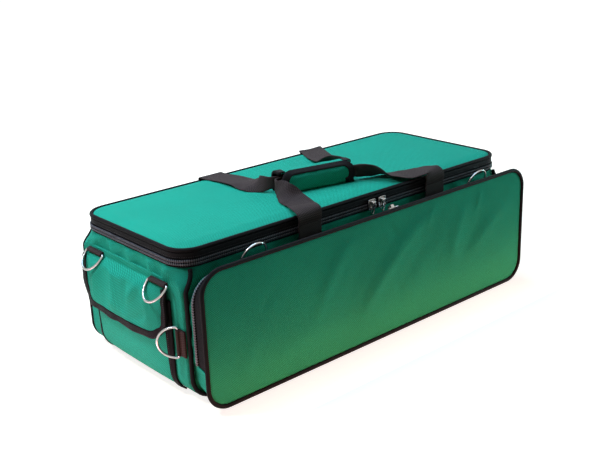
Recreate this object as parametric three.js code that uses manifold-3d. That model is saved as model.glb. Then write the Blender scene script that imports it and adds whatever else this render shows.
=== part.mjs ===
// Soft case for a set of pipes: a foam-walled box of woven nylon with a padded lid that zips round
// three sides, a flat zipped pocket on its front, a flapped pouch on its left end, two webbing
// handles joined by a padded wrap, and D-rings for straps.
// Millimetres, +Z up. X runs along the case, -Y is its front. The origin lies on the floor, under
// the middle of the box.

import * as THREE from 'three';
import { mergeVertices } from 'three/addons/utils/BufferGeometryUtils.js';
import Module from 'manifold-3d';

// The whole case
const case_length = 740;
const case_depth = 287;
const case_height = 242;
const seat_gap = 0.3;
const seam_radius = 1.2;

// Tub: outer cloth, foam and lining
const shell_wall = 1.6;
const bottom_radius = 40;
const upright_radius = 6;
const rim_radius = 38;
const rim_inset = 2;
const rim_height = 212.3;
const blend_height = 34;
const foam_thickness = 8;
const lining_wall = 1;
const lining_lip = 1;

// Zip between tub and lid
const tape_thickness = 1.6;
const split_height = 219.85;
const lid_tape_width = 6;
const coil_radius = 1.35;

// Lid
const lid_corner_radius = 40;
const lid_band_inset = 1.5;
const lid_band_thickness = 2;
const lid_piping_radius = 3.3;
const lid_lining_thickness = 1.2;
const lid_lining_drop = 1.4;
const lid_foam_thickness = 8.6;
const lid_edge_drop = 2.5;
const lid_crown = 5.5;
const lid_crown_reach = 70;

// Piping round the front and back faces
const rim_piping_radius = 3.5;
const rim_piping_stand = 1;
const rim_piping_low_turn = 76;
const rim_piping_high_turn = 60;

// Front pocket
const pocket_depth = 54;
const pocket_length = 749;
const pocket_height = 226;
const pocket_corner_radius = 40;
const pocket_piping_radius = 3.5;
const pocket_panel_crown = 2.6;
const pocket_panel_thickness = 5;
const pocket_panel_crown_reach = 60;
const pocket_zip_end_height = 68;
const pocket_zip_end_step = 3;
const pocket_seam_half_length = 359.5;
const pocket_seam_top = 180;
const pocket_seam_bottom = 8;
const pocket_tape_out = 7.5;
const pocket_tape_half_length = 362;
const pocket_tape_top = 195.5;
const pocket_tape_bottom = 7;
const pocket_chain_out = 17.2;
const pocket_front_half_length = 369.5;
const pocket_front_top = 220;
const pocket_front_bottom = 2.5;

// Pouch on the left end, with its flap
const pouch_side_margin = 31.5;
const pouch_bottom = 8;
const pouch_top = 158;
const pouch_full_height = 110;
const pouch_mouth_share = 0.72;
const pouch_bulge = 17;
const pouch_thickness = 2;
const pouch_binding_width = 7;
const pouch_binding_thickness = 3;
const patch_width = 110;
const patch_height = 25;
const patch_thickness = 1.2;
const patch_centre_height = 122;
const flap_back_margin = 17.5;
const flap_front_margin = 33.5;
const flap_bottom = 94;
const flap_corner_radius = 36;
const flap_seam_height = 193;
const flap_fold_height = 181;
const flap_fold_reach = 22;
const flap_hem = 4.2;
const flap_back_swell = 7;
const flap_thickness = 2.4;
const flap_binding_width = 8;
const flap_binding_proud = 0.8;

// D-rings and the webbing loops that hold them
const ring_half_bar = 25;
const ring_reach = 32;
const ring_corner = 3;
const ring_wire_radius = 2;
const loop_width = 43;
const loop_webbing = 1.2;
const loop_bore_clearance = 0.4;
const loop_tail = 6;
const tab_tail = 12;
const flap_ring_back_margin = 34;
const flap_ring_front_margin = 18;
const flap_ring_drop = 8.6;
const flap_ring_tilt = 42;
const front_ring_place_shares = [-0.327, 0.389];
const front_ring_height = 197;
const front_ring_lean = 24;
const tab_ring_margin = 15.5;
const tab_ring_height = 97;
const tab_ring_swing = 45;

// Handles of flat webbing
const webbing_width = 50;
const webbing_thickness = 1.8;
const folded_width = 21;
const webbing_lift = 3;
const front_strap_place_shares = [-0.173, 0.2284];
const front_strap_out = 8.5;
const front_strap_seam_out = 1.6;
const front_strap_seam_height = 190.5;
const front_strap_bend_height = 207;
const front_strap_bend_share = 0.6;
const front_strap_top = 227.8;
const front_fold_height = 228.5;
const back_strap_place_shares = [-0.1446, 0.1851];
const back_strap_out = 1.2;
const back_strap_length = 92;
const back_strap_top = 216;
const lid_strap_bottom = 224.2;
const lid_strap_top = 239.4;
const back_fold_height = 240;
const strap_turn = 6;

// Padded wrap that joins the handles
const grip_x_share = -0.0419;
const grip_y_share = -0.1568;
const grip_turn = -12;
const grip_length = 127;
const grip_half_width = 20;
const grip_height = 32;
const grip_wall = 4;
const grip_low_radius = 5;
const grip_high_radius = 12;
const grip_lift = 0.8;
const grip_lap = 9.5;
const grip_leaf_corner = 14;
const grip_strand_spread = 5;

// Zip sliders and their pulls
const slider_width = 9;
const slider_height = 11.6;
const slider_corner = 2;
const slider_plate_out = 3.4;
const slider_plate = 1.6;
const slider_flange = 1.4;
const slider_flange_clearance = 1.3;
const arch_width = 3.4;
const arch_height = 8;
const arch_gap = 2.2;
const arch_bar = 1.6;
const pull_half_bar = 4;
const pull_corner = 1.2;
const pull_wire_radius = 0.8;
const main_pull_reach = 12.5;
const pocket_pull_reach = 18;
const slider_place = 30;
const slider_spacing = 24;
const pocket_slider_place = 52;

// Facets
const corner_steps = 5;
const tub_levels = 5;
const bead_sides = 6;
const sheet_columns = 12;
const sheet_rows = 9;
const ribbon_steps = 4;
const bow_steps = 12;

// Colours and finishes
const green_cloth = { color: 0x0b8f6e, roughness: 0.78, metalness: 0 };
const black_cloth = { color: 0x17161a, roughness: 0.7, metalness: 0 };
const black_lining = { color: 0x2b2b30, roughness: 0.85, metalness: 0 };
const grey_foam = { color: 0x6d6f73, roughness: 0.95, metalness: 0 };
const brown_board = { color: 0x8d7355, roughness: 0.9, metalness: 0 };
const black_nylon_coil = { color: 0x1d1c21, roughness: 0.45, metalness: 0 };
const bright_nickel = { color: 0xcfcfd2, roughness: 0.22, metalness: 1 };

const wasm = await Module();
wasm.setup();
const bagpipe_case = new THREE.Group();
const toRadians = THREE.MathUtils.degToRad;
const lerp = THREE.MathUtils.lerp;
const range = (count) => Array.from({ length: count }, (unused, index) => index);
const point = (x, y, z) => new THREE.Vector3(x, y, z);
const x_axis = point(1, 0, 0);
const y_axis = point(0, 1, 0);
const z_axis = point(0, 0, 1);
const front_y = -case_depth / 2;
const alongCase = (share) => share * case_length;
const lid_top = case_height - lid_edge_drop + lid_crown;

function addPiece(name, geometry, finish) {
  const mesh = new THREE.Mesh(geometry, new THREE.MeshStandardMaterial(finish));
  mesh.name = name;
  bagpipe_case.add(mesh);
}

// A closed body from its corners and faces, turned so that its faces point out
function closedBody(corners, faces) {
  let volume = 0;
  for (let index = 0; index < faces.length; index += 3) {
    const [a, b, c] = [corners[faces[index]], corners[faces[index + 1]], corners[faces[index + 2]]];
    volume += a.dot(b.clone().cross(c));
  }
  const geometry = new THREE.BufferGeometry();
  const places = corners.flatMap((corner) => corner.toArray());
  geometry.setAttribute('position', new THREE.Float32BufferAttribute(places, 3));
  geometry.setIndex(volume < 0 ? [...faces].reverse() : faces);
  geometry.computeVertexNormals();
  return geometry;
}

// Rings of points joined in order. The end rings are capped, unless the last meets the first
function loft(rings, closes = false) {
  const size = rings[0].length;
  const corners = rings.flat();
  const faces = [];
  for (const ring of range(closes ? rings.length : rings.length - 1)) {
    const next = (ring + 1) % rings.length;
    for (const side of range(size)) {
      const beside = (side + 1) % size;
      const [a, b] = [ring * size + side, ring * size + beside];
      const [c, d] = [next * size + beside, next * size + side];
      faces.push(a, b, c, a, c, d);
    }
  }
  if (!closes) {
    for (const [ring, turned] of [[0, true], [rings.length - 1, false]]) {
      const middle = corners.length;
      corners.push(rings[ring].reduce((sum, p) => sum.add(p), point(0, 0, 0)).divideScalar(size));
      for (const side of range(size)) {
        const [a, b] = [ring * size + side, ring * size + ((side + 1) % size)];
        faces.push(middle, ...(turned ? [b, a] : [a, b]));
      }
    }
  }
  return closedBody(corners, faces);
}

// A sheet over a grid of shares, with a face and a back
function sheet(columns, rows, faceAt, backAt) {
  const corners = [];
  for (const side of [faceAt, backAt]) {
    for (const row of range(rows + 1)) {
      for (const column of range(columns + 1)) corners.push(side(column / columns, row / rows));
    }
  }
  const layer = (columns + 1) * (rows + 1);
  const at = (column, row) => row * (columns + 1) + column;
  const faces = [];
  for (const row of range(rows)) {
    for (const column of range(columns)) {
      const [a, b] = [at(column, row), at(column + 1, row)];
      const [c, d] = [at(column + 1, row + 1), at(column, row + 1)];
      faces.push(a, b, c, a, c, d, layer + a, layer + c, layer + b, layer + a, layer + d, layer + c);
    }
  }
  const edge = [
    ...range(columns).map((column) => at(column, 0)),
    ...range(rows).map((row) => at(columns, row)),
    ...range(columns).map((column) => at(columns - column, rows)),
    ...range(rows).map((row) => at(0, rows - row)),
  ];
  edge.forEach((a, index) => {
    const b = edge[(index + 1) % edge.length];
    faces.push(a, layer + a, layer + b, a, layer + b, b);
  });
  return closedBody(corners, faces);
}

// A round bead along points that lie in one plane
function bead(points, plane_normal, radius, closes = false) {
  const rings = points.map((centre, index) => {
    const before = points[closes ? (index + points.length - 1) % points.length : Math.max(index - 1, 0)];
    const after = points[closes ? (index + 1) % points.length : Math.min(index + 1, points.length - 1)];
    const outward = after.clone().sub(before).normalize().cross(plane_normal);
    return range(bead_sides).map((side) => {
      const angle = (side / bead_sides) * 2 * Math.PI;
      return centre.clone()
        .addScaledVector(outward, radius * Math.cos(angle))
        .addScaledVector(plane_normal, radius * Math.sin(angle));
    });
  });
  return loft(rings, closes);
}

// Stations round a rounded rectangle, each with its outward direction: the lower right corner
// first, then the upper right, the upper left and the lower left
function roundedRectangle(half_width, low, high, low_radius, high_radius, steps = corner_steps) {
  const corners = [
    [half_width - low_radius, low + low_radius, low_radius, -90],
    [half_width - high_radius, high - high_radius, high_radius, 0],
    [high_radius - half_width, high - high_radius, high_radius, 90],
    [low_radius - half_width, low + low_radius, low_radius, 180],
  ];
  return corners.flatMap(([u, v, radius, start]) => range(steps + 1).map((step) => {
    const angle = toRadians(start + (90 * step) / steps);
    const [out_u, out_v] = [Math.cos(angle), Math.sin(angle)];
    return { u: u + radius * out_u, v: v + radius * out_v, out_u, out_v };
  }));
}

// Places a shape by the directions of its own axes and the place of its origin
function place(geometry, x_direction, y_direction, z_direction, origin) {
  const frame = new THREE.Matrix4().makeBasis(x_direction, y_direction, z_direction);
  return geometry.applyMatrix4(frame.setPosition(origin));
}

// Joins shapes into one body
function join(...shapes) {
  const solids = shapes.map((shape) => {
    const bare = shape.clone();
    bare.deleteAttribute('normal');
    bare.deleteAttribute('uv');
    const merged = mergeVertices(bare);
    const vertProperties = new Float32Array(merged.attributes.position.array);
    const triVerts = new Uint32Array(merged.index.array);
    return new wasm.Manifold(new wasm.Mesh({ numProp: 3, vertProperties, triVerts }));
  });
  const mesh = solids.reduce((sum, solid) => sum.add(solid)).getMesh();
  const geometry = new THREE.BufferGeometry();
  geometry.setAttribute('position', new THREE.Float32BufferAttribute(mesh.vertProperties, 3));
  geometry.setIndex([...mesh.triVerts]);
  geometry.computeVertexNormals();
  return geometry;
}

// Tub: a level of it is a rounded rectangle, whose ends curve under at the bottom and whose upright
// corners open out to the lid's corners near the rim
const blend_start = rim_height - blend_height;
const foam_stack = foam_thickness + rim_inset;

function rimShare(height) {
  return THREE.MathUtils.smoothstep(height, blend_start, rim_height);
}

function tubLevel(height, inset) {
  const share = rimShare(height);
  const drop = Math.max(bottom_radius - height, 0);
  const bend = Math.sqrt(Math.max((bottom_radius - inset) ** 2 - drop ** 2, 0));
  const half_length = case_length / 2 - bottom_radius + bend - rim_inset * share;
  const half_depth = case_depth / 2 - inset - rim_inset * share;
  const radius = Math.max(lerp(upright_radius, rim_radius, share) - inset, seam_radius);
  return roundedRectangle(half_length, -half_depth, half_depth, radius, radius)
    .map(({ u, v }) => point(u, v, height));
}

function tubHeights(inset) {
  const low = range(tub_levels + 1).map((step) => {
    const angle = (step / tub_levels) * (Math.PI / 2);
    return bottom_radius - (bottom_radius - inset) * Math.cos(angle);
  });
  const high = range(tub_levels).map((step) => blend_start + (blend_height * step) / (tub_levels - 1));
  return [...low, ...high];
}

function addTub() {
  const wall = [
    ...tubHeights(0).map((height) => tubLevel(height, 0)),
    ...tubHeights(shell_wall).reverse().map((height) => tubLevel(height, shell_wall)),
  ];
  addPiece('outer_shell', loft(wall), green_cloth);

  const lining_inset = shell_wall + foam_stack + 2 * seat_gap;
  const lip_inset = shell_wall + rim_inset + seat_gap;
  const liftLevel = (inset, lift) => tubLevel(rim_height, inset).map((p) => p.setZ(rim_height + lift));
  const lining = [
    ...tubHeights(lining_inset).map((height) => tubLevel(height, lining_inset)),
    liftLevel(lining_inset, seat_gap),
    liftLevel(lip_inset, seat_gap),
    liftLevel(lip_inset, seat_gap + lining_lip),
    liftLevel(lining_inset + lining_wall, seat_gap + lining_lip),
    ...tubHeights(lining_inset + lining_wall).reverse()
      .map((height) => tubLevel(height, lining_inset + lining_wall)),
  ];
  addPiece('inner_lining', loft(lining), black_lining);
}

// Foam: flat sheets on the front and back, sheets bent under at the ends, and a board below
function addFoam() {
  const inset = shell_wall + seat_gap;
  const flat_top = tubHeights(inset).filter((height) => height >= blend_start);
  const flatHalf = (full, height) => {
    const share = rimShare(height);
    return full / 2 - rim_inset * share - lerp(upright_radius, rim_radius, share);
  };
  const long_outline = [];
  for (const height of tubHeights(inset).filter((level) => level < blend_start)) {
    const drop = Math.max(bottom_radius - height, 0);
    const bend = Math.sqrt(Math.max((bottom_radius - inset) ** 2 - drop ** 2, 0));
    long_outline.push([case_length / 2 - bottom_radius + bend - upright_radius + inset, height]);
  }
  for (const height of flat_top) long_outline.push([flatHalf(case_length, height), height]);
  const outline = new THREE.Shape([
    ...long_outline.map(([x, z]) => new THREE.Vector2(x, z)),
    ...[...long_outline].reverse().map(([x, z]) => new THREE.Vector2(-x, z)),
  ]);
  const long_wall_out = case_depth / 2 - inset - rim_inset;
  const long_walls = [
    ['foam_wall_front', -long_wall_out + foam_thickness],
    ['foam_wall_back', long_wall_out],
  ];
  for (const [name, y] of long_walls) {
    const slab = new THREE.ExtrudeGeometry(outline, { depth: foam_thickness, bevelEnabled: false });
    addPiece(name, place(slab, x_axis, z_axis, y_axis.clone().negate(), point(0, y, 0)), grey_foam);
  }

  const between = long_wall_out - foam_thickness - seat_gap;
  for (const [name, side] of [['foam_end_left', -1], ['foam_end_right', 1]]) {
    const sections = tubHeights(inset).map((height) => {
      const drop = Math.max(bottom_radius - height, 0);
      const outer = bottom_radius - inset;
      const bend = Math.sqrt(Math.max(outer ** 2 - drop ** 2, 0));
      const inner_share = (outer - foam_stack) / outer;
      const centre = case_length / 2 - bottom_radius - rim_inset * rimShare(height);
      const half = Math.min(between, flatHalf(case_depth, height));
      const far = [side * (centre + bend), height];
      const near = [side * (centre + bend * inner_share), bottom_radius - drop * inner_share];
      if (drop === 0) near[1] = height;
      return [
        point(far[0], -half, far[1]), point(far[0], half, far[1]),
        point(near[0], half, near[1]), point(near[0], -half, near[1]),
      ];
    });
    addPiece(name, loft(sections), grey_foam);
  }

  const board_length = case_length - 2 * bottom_radius - 2 * seat_gap;
  const board = new THREE.BoxGeometry(board_length, 2 * between, foam_stack);
  addPiece('base_board', board.translate(0, 0, inset + foam_stack / 2), brown_board);
}

// Piping sewn round the front and back faces. At both top corners it leans in over the rounder part
// of the tub and ends under the zip tape
function addRimPiping() {
  const half_length = case_length / 2 - rim_piping_radius;
  const low_radius = bottom_radius - rim_piping_radius;
  const face_out = case_depth / 2 + rim_piping_radius + seat_gap;
  const count = corner_steps + 1;
  const outline = roundedRectangle(half_length, rim_piping_radius, rim_height, low_radius, low_radius);
  const low = [...outline.slice(3 * count), ...outline.slice(0, count)].map(({ u, v }) => [u, face_out, v]);
  const levels = tub_levels - 1;
  const upright = (side) => range(levels + 1).map((level) => {
    const height = lerp(blend_start, rim_height - seam_radius, level / levels);
    const share = rimShare(height);
    const radius = lerp(upright_radius, rim_radius, share);
    const reach = radius + rim_piping_radius + rim_piping_stand;
    const turn = toRadians(lerp(rim_piping_low_turn, rim_piping_high_turn, share));
    const inward = rim_inset * share + radius;
    const along = case_length / 2 - inward + reach * Math.cos(turn);
    return [side * along, case_depth / 2 - inward + reach * Math.sin(turn), height];
  });
  const run = [...upright(-1).reverse(), ...low, ...upright(1)];
  for (const [name, side] of [['front_rim_piping', -1], ['back_rim_piping', 1]]) {
    const line = run.map(([along, out, height]) => point(along, side * out, height));
    addPiece(name, bead(line, y_axis, rim_piping_radius), black_cloth);
  }
}

// Stations round the lid's outline, at an inset from its outermost edge
function lidOutline(inset) {
  const radius = Math.max(lid_corner_radius - inset, seam_radius);
  const half_depth = case_depth / 2 - inset;
  return roundedRectangle(case_length / 2 - inset, -half_depth, half_depth, radius, radius);
}

// The part of that outline that the zip follows, from one back corner round the front to the other
function zipRun(inset) {
  const stations = lidOutline(inset);
  const half = stations.length / 2;
  return [...stations.slice(half), ...stations.slice(0, half)];
}

function uprightBand(stations, thickness, low, high, closes) {
  const sections = stations.map(({ u, v, out_u, out_v }) => [
    point(u, v, low), point(u, v, high),
    point(u - out_u * thickness, v - out_v * thickness, high),
    point(u - out_u * thickness, v - out_v * thickness, low),
  ]);
  return loft(sections, closes);
}

// Zip: a tape all round the tub and a row of coil along three sides of it, and the same on the lid.
// Along the back the two tapes make the hinge
const tub_tape_low = rim_height + seat_gap;
const lid_tape_low = split_height + seat_gap / 2;
const lid_tape_high = lid_tape_low + lid_tape_width;

function addZip() {
  const tub_tape_high = split_height - seat_gap / 2;
  const tape = (low, high) => uprightBand(lidOutline(rim_inset), tape_thickness, low, high, true);
  const coil = (height) => {
    const run = zipRun(rim_inset - coil_radius - seat_gap).map(({ u, v }) => point(u, v, height));
    return bead(run, z_axis, coil_radius);
  };
  addPiece('body_zip_tape', tape(tub_tape_low, tub_tape_high), black_cloth);
  addPiece('body_zip_coil', coil(tub_tape_high - coil_radius), black_nylon_coil);
  addPiece('lid_zip_tape', tape(lid_tape_low, lid_tape_high), black_cloth);
  addPiece('lid_zip_coil', coil(lid_tape_low + coil_radius), black_nylon_coil);
}

// Lid: a black band with piping on its top edge, round a crowned panel over foam and lining
const lid_panel_inset = 2 * lid_piping_radius + seat_gap;

function lidHeight(x, y) {
  const inset = Math.min(case_length / 2 - Math.abs(x), case_depth / 2 - Math.abs(y)) - lid_panel_inset;
  const share = THREE.MathUtils.clamp(inset / lid_crown_reach, 0, 1);
  return case_height - lid_edge_drop + lid_crown * (1 - (1 - share) ** 2);
}

function addLid() {
  const band_low = lid_tape_high + seat_gap;
  const band_high = case_height - 2 * lid_piping_radius - seat_gap;
  const band_outline = lidOutline(lid_band_inset);
  const band = uprightBand(band_outline, lid_band_thickness, band_low, band_high, true);
  addPiece('lid_band', band, black_cloth);

  const flat = (inset, height) => lidOutline(inset).map(({ u, v }) => point(u, v, height));
  const piping = flat(lid_piping_radius, case_height - lid_piping_radius);
  addPiece('lid_piping', bead(piping, z_axis, lid_piping_radius, true), black_cloth);

  const lining_inset = rim_inset + tape_thickness + seat_gap;
  const lining_low = lid_tape_high - lid_lining_drop;
  const foam_low = lining_low + lid_lining_thickness + seat_gap;
  const foam_high = foam_low + lid_foam_thickness;
  const layer = (inset, low, high) => loft([flat(inset, low), flat(inset, high)]);
  addPiece('lid_lining', layer(lining_inset, lining_low, lining_low + lid_lining_thickness), black_lining);
  addPiece('lid_foam', layer(lid_panel_inset, foam_low, foam_high), grey_foam);

  const crown_shares = [0, 0.12, 0.3, 0.6, 1];
  const crown = crown_shares.map((share) => {
    const rise = lid_crown * (1 - (1 - share) ** 2);
    return flat(lid_panel_inset + share * lid_crown_reach, case_height - lid_edge_drop + rise);
  });
  addPiece('lid_panel', loft([flat(lid_panel_inset, foam_high + seat_gap), ...crown]), green_cloth);
}

// Front pocket: its wall widens from the seam on the front face to the panel. An outline of it at a
// place out from the front face is a rounded rectangle
const pocket_front_out = pocket_depth - 2 * pocket_piping_radius - 4 * seat_gap;
const pocket_knots = [
  [seat_gap, pocket_seam_half_length, pocket_seam_top, pocket_seam_bottom],
  [pocket_tape_out, pocket_tape_half_length, pocket_tape_top, pocket_tape_bottom],
  [pocket_front_out, pocket_front_half_length, pocket_front_top, pocket_front_bottom],
];

function pocketOutline(out) {
  const far = Math.max(pocket_knots.findIndex(([knot]) => out <= knot), 1);
  const [a, b] = [pocket_knots[far - 1], pocket_knots[far]];
  const share = (out - a[0]) / (b[0] - a[0]);
  return [1, 2, 3].map((column) => lerp(a[column], b[column], share));
}

function pocketStations(out, kind) {
  const [half, top, bottom] = pocketOutline(out);
  const radius = pocket_corner_radius;
  const corners = roundedRectangle(half, bottom, top, radius, radius);
  const count = corner_steps + 1;
  const side = (sign, height) => ({ u: sign * half, v: height, out_u: sign, out_v: 0, zipped: true });
  const zipped = corners.slice(count, 3 * count).map((station) => ({ ...station, zipped: true }));
  const over = [side(1, pocket_zip_end_height), ...zipped, side(-1, pocket_zip_end_height)];
  if (kind === 'over the top') return over;
  const step_height = pocket_zip_end_height - pocket_zip_end_step;
  return [
    ...corners.slice(0, count), { ...side(1, step_height), zipped: false }, ...over,
    { ...side(-1, step_height), zipped: false }, ...corners.slice(3 * count),
  ];
}

const pocketPoint = (station, out, inward = 0) => point(
  station.u - station.out_u * inward, front_y - out, station.v - station.out_v * inward,
);

function pocketTape(from, to) {
  const [near, far] = [pocketStations(from, 'over the top'), pocketStations(to, 'over the top')];
  return loft(near.map((station, index) => [
    pocketPoint(station, from), pocketPoint(far[index], to),
    pocketPoint(far[index], to, tape_thickness), pocketPoint(station, from, tape_thickness),
  ]));
}

function addPocket() {
  const all_round = pocketStations(seat_gap, 'all round');
  const sections = all_round.map((station, index) => {
    const outs = station.zipped
      ? [seat_gap, pocket_tape_out / 2, pocket_tape_out - seat_gap]
      : [seat_gap, pocket_tape_out, pocket_front_out];
    const line = (inward) => outs.map((out) => {
      return pocketPoint(pocketStations(out, 'all round')[index], out, inward);
    });
    return [...line(0), ...line(tape_thickness).reverse()];
  });
  addPiece('pocket_gusset', loft(sections, true), green_cloth);

  const half_split = seat_gap / 2;
  const near_tape = pocketTape(pocket_tape_out, pocket_chain_out - half_split);
  const far_tape = pocketTape(pocket_chain_out + half_split, pocket_front_out);
  addPiece('pocket_zip_tape', near_tape, black_cloth);
  addPiece('pocket_panel_zip_tape', far_tape, black_cloth);
  for (const [name, out] of [
    ['pocket_zip_coil', pocket_chain_out - half_split - coil_radius],
    ['pocket_panel_zip_coil', pocket_chain_out + half_split + coil_radius],
  ]) {
    const run = pocketStations(out, 'over the top')
      .map((station) => pocketPoint(station, out, -coil_radius - 2 * seat_gap));
    addPiece(name, bead(run, y_axis, coil_radius), black_nylon_coil);
  }

  const outline = (inset, out) => {
    const radius = Math.max(pocket_corner_radius - inset, seam_radius);
    return roundedRectangle(pocket_length / 2 - inset, inset, pocket_height - inset, radius, radius)
      .map((station) => pocketPoint(station, out));
  };
  const piping = outline(pocket_piping_radius, pocket_depth - pocket_piping_radius);
  addPiece('pocket_panel_piping', bead(piping, y_axis, pocket_piping_radius, true), black_cloth);

  const panel_inset = 2 * pocket_piping_radius + seat_gap;
  const panel_back = pocket_front_out + seat_gap;
  const crown_shares = [0, 0.12, 0.3, 0.6, 1];
  const crown = crown_shares.map((share) => outline(
    panel_inset + share * pocket_panel_crown_reach,
    panel_back + pocket_panel_thickness + pocket_panel_crown * (1 - (1 - share) ** 2),
  ));
  addPiece('pocket_panel', loft([outline(panel_inset, panel_back), ...crown]), green_cloth);
}

const pouch_width = case_depth - 2 * pouch_side_margin;
const flap_back = case_depth / 2 - flap_back_margin;
const flap_front = flap_front_margin - case_depth / 2;

// Left end: a pouch that swells out from the end face, under a padded flap. A point over the end
// face, which curves under at the bottom
function onEnd(y, height, out) {
  const drop = Math.max(bottom_radius - height, 0);
  const bend = Math.sqrt(bottom_radius ** 2 - drop ** 2);
  const reach = 1 + out / bottom_radius;
  const level = Math.max(height, bottom_radius) - drop * reach;
  return point(bottom_radius - case_length / 2 - bend * reach, y, level);
}

function pouchOut(y, height) {
  const across = 1 - THREE.MathUtils.clamp(Math.abs((2 * y) / pouch_width), 0, 1) ** 4;
  const rise = THREE.MathUtils.clamp((height - pouch_bottom) / (pouch_full_height - pouch_bottom), 0, 1);
  const over = Math.max((height - pouch_full_height) / (pouch_top - pouch_full_height), 0);
  const up = Math.sin((rise * Math.PI) / 2) - (1 - pouch_mouth_share) * over ** 2;
  return seat_gap + pouch_bulge * across * up;
}

const flap_stack = pouch_thickness + 2 * patch_thickness + 5 * seat_gap + flap_thickness;

function flapOut(y, height) {
  const full = pouchOut(y, height) + flap_stack;
  const above = (height - flap_fold_height + flap_fold_reach) / flap_fold_reach;
  const share = Math.sqrt(Math.max(1 - THREE.MathUtils.clamp(above, 0, 1) ** 2, 0));
  const swell = flap_back_swell * THREE.MathUtils.smoothstep(y, patch_width / 2, flap_back);
  return flap_hem + (full + swell - flap_hem) * share;
}

function addPouch() {
  const side_y = pouch_width / 2 - pouch_binding_width;
  const yAt = (across) => lerp(-side_y, side_y, across);
  const low_rows = tubHeights(0).filter((height) => height > pouch_bottom && height <= bottom_radius);
  const high_rows = range(sheet_rows - low_rows.length)
    .map((row) => lerp(bottom_radius, pouch_top, (row + 1) / (sheet_rows - low_rows.length)));
  const rows_up = [pouch_bottom, ...low_rows, ...high_rows];
  const heightAt = (up) => rows_up[Math.round(up * sheet_rows)];
  addPiece('end_pouch', sheet(
    sheet_columns, sheet_rows,
    (across, up) => onEnd(yAt(across), heightAt(up), pouchOut(yAt(across), heightAt(up)) + pouch_thickness),
    (across, up) => onEnd(yAt(across), heightAt(up), pouchOut(yAt(across), heightAt(up))),
  ), green_cloth);

  for (const [name, sign] of [['pouch_binding_front', -1], ['pouch_binding_back', 1]]) {
    const rows = range(sheet_rows + 1).map((row) => {
      const height = heightAt(row / sheet_rows);
      const [inner, outer] = [sign * (side_y + seat_gap), (sign * pouch_width) / 2];
      const proud = (y) => pouchOut(y, height) + pouch_binding_thickness;
      return [
        onEnd(inner, height, pouchOut(inner, height)), onEnd(outer, height, seat_gap),
        onEnd(outer, height, proud(outer)), onEnd(inner, height, proud(inner)),
      ];
    });
    addPiece(name, loft(rows), black_cloth);
  }

  const patch = (base) => {
    const y_of = (across) => (across - 0.5) * patch_width;
    const height_of = (up) => patch_centre_height + (up - 0.5) * patch_height;
    const at = (across, up, lift) => {
      const [y, height] = [y_of(across), height_of(up)];
      return onEnd(y, height, pouchOut(y, height) + lift);
    };
    return sheet(
      sheet_columns, 2,
      (across, up) => at(across, up, base + patch_thickness), (across, up) => at(across, up, base),
    );
  };
  const pouch_face = pouch_thickness + seat_gap;
  addPiece('pouch_loop_patch', patch(pouch_face), black_cloth);
  addPiece('flap_hook_patch', patch(pouch_face + patch_thickness + seat_gap), black_cloth);
}

function addFlap() {
  const edge = (inset) => {
    const half = (flap_back - flap_front) / 2 - inset;
    const radius = flap_corner_radius - inset;
    const centre = (flap_back + flap_front) / 2;
    const low = flap_bottom + inset;
    return {
      yAt: (across) => lerp(centre - half, centre + half, across),
      lowAt: (y) => {
        const past = Math.max(Math.abs(y - centre) - half + radius, 0);
        return low + radius - Math.sqrt(Math.max(radius ** 2 - past ** 2, 0));
      },
    };
  };
  const cloth = edge(flap_binding_width);
  const row_shares = [0, 0.2, 0.4, 0.6, 0.75, 0.87, 0.95, 1];
  const fold_rows = row_shares.length;
  const heightAt = (y, up) => {
    const row = Math.round(up * fold_rows);
    if (row === fold_rows) return flap_seam_height;
    return lerp(cloth.lowAt(y), flap_fold_height, row_shares[row]);
  };
  const face = (across, up) => {
    const y = cloth.yAt(Math.sin((across - 0.5) * Math.PI) / 2 + 0.5);
    return [y, heightAt(y, up)];
  };
  addPiece('end_flap', sheet(
    sheet_columns, fold_rows,
    (across, up) => {
      const [y, height] = face(across, up);
      return onEnd(y, height, flapOut(y, height));
    },
    (across, up) => {
      const [y, height] = face(across, up);
      return onEnd(y, height, flapOut(y, height) - flap_thickness);
    },
  ), green_cloth);

  const centre = (flap_back + flap_front) / 2;
  const stations = (inset) => {
    const half = (flap_back - flap_front) / 2 - inset;
    const radius = flap_corner_radius - inset;
    const low = flap_bottom + inset;
    const corners = roundedRectangle(half, low, flap_fold_height, radius, radius);
    const count = corner_steps + 1;
    const top = flap_fold_height - flap_binding_width / 2;
    const middle = (top + low + radius) / 2;
    const along = half - radius;
    const bottom = range(corner_steps).map((step) => {
      return { u: lerp(-along, along, (step + 1) / (corner_steps + 1)), v: low };
    });
    return [
      { u: -half, v: top }, { u: -half, v: middle },
      ...corners.slice(3 * count), ...bottom, ...corners.slice(0, count),
      { u: half, v: middle }, { u: half, v: top },
    ].map(({ u, v }) => [u + centre, v]);
  };
  const [outer, inner] = [stations(0), stations(flap_binding_width - 3 * seat_gap)];
  const sections = outer.map(([y, height], index) => {
    const [near_y, near_height] = inner[index];
    const rim_out = flapOut(near_y, height);
    const near_out = flapOut(near_y, near_height);
    const back = flap_thickness + patch_thickness / 2;
    return [
      onEnd(y, height, rim_out - back), onEnd(near_y, near_height, near_out - back),
      onEnd(near_y, near_height, near_out + flap_binding_proud),
      onEnd(y, height, rim_out + flap_binding_proud),
    ];
  });
  addPiece('end_flap_binding', loft(sections), black_cloth);
}

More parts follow.
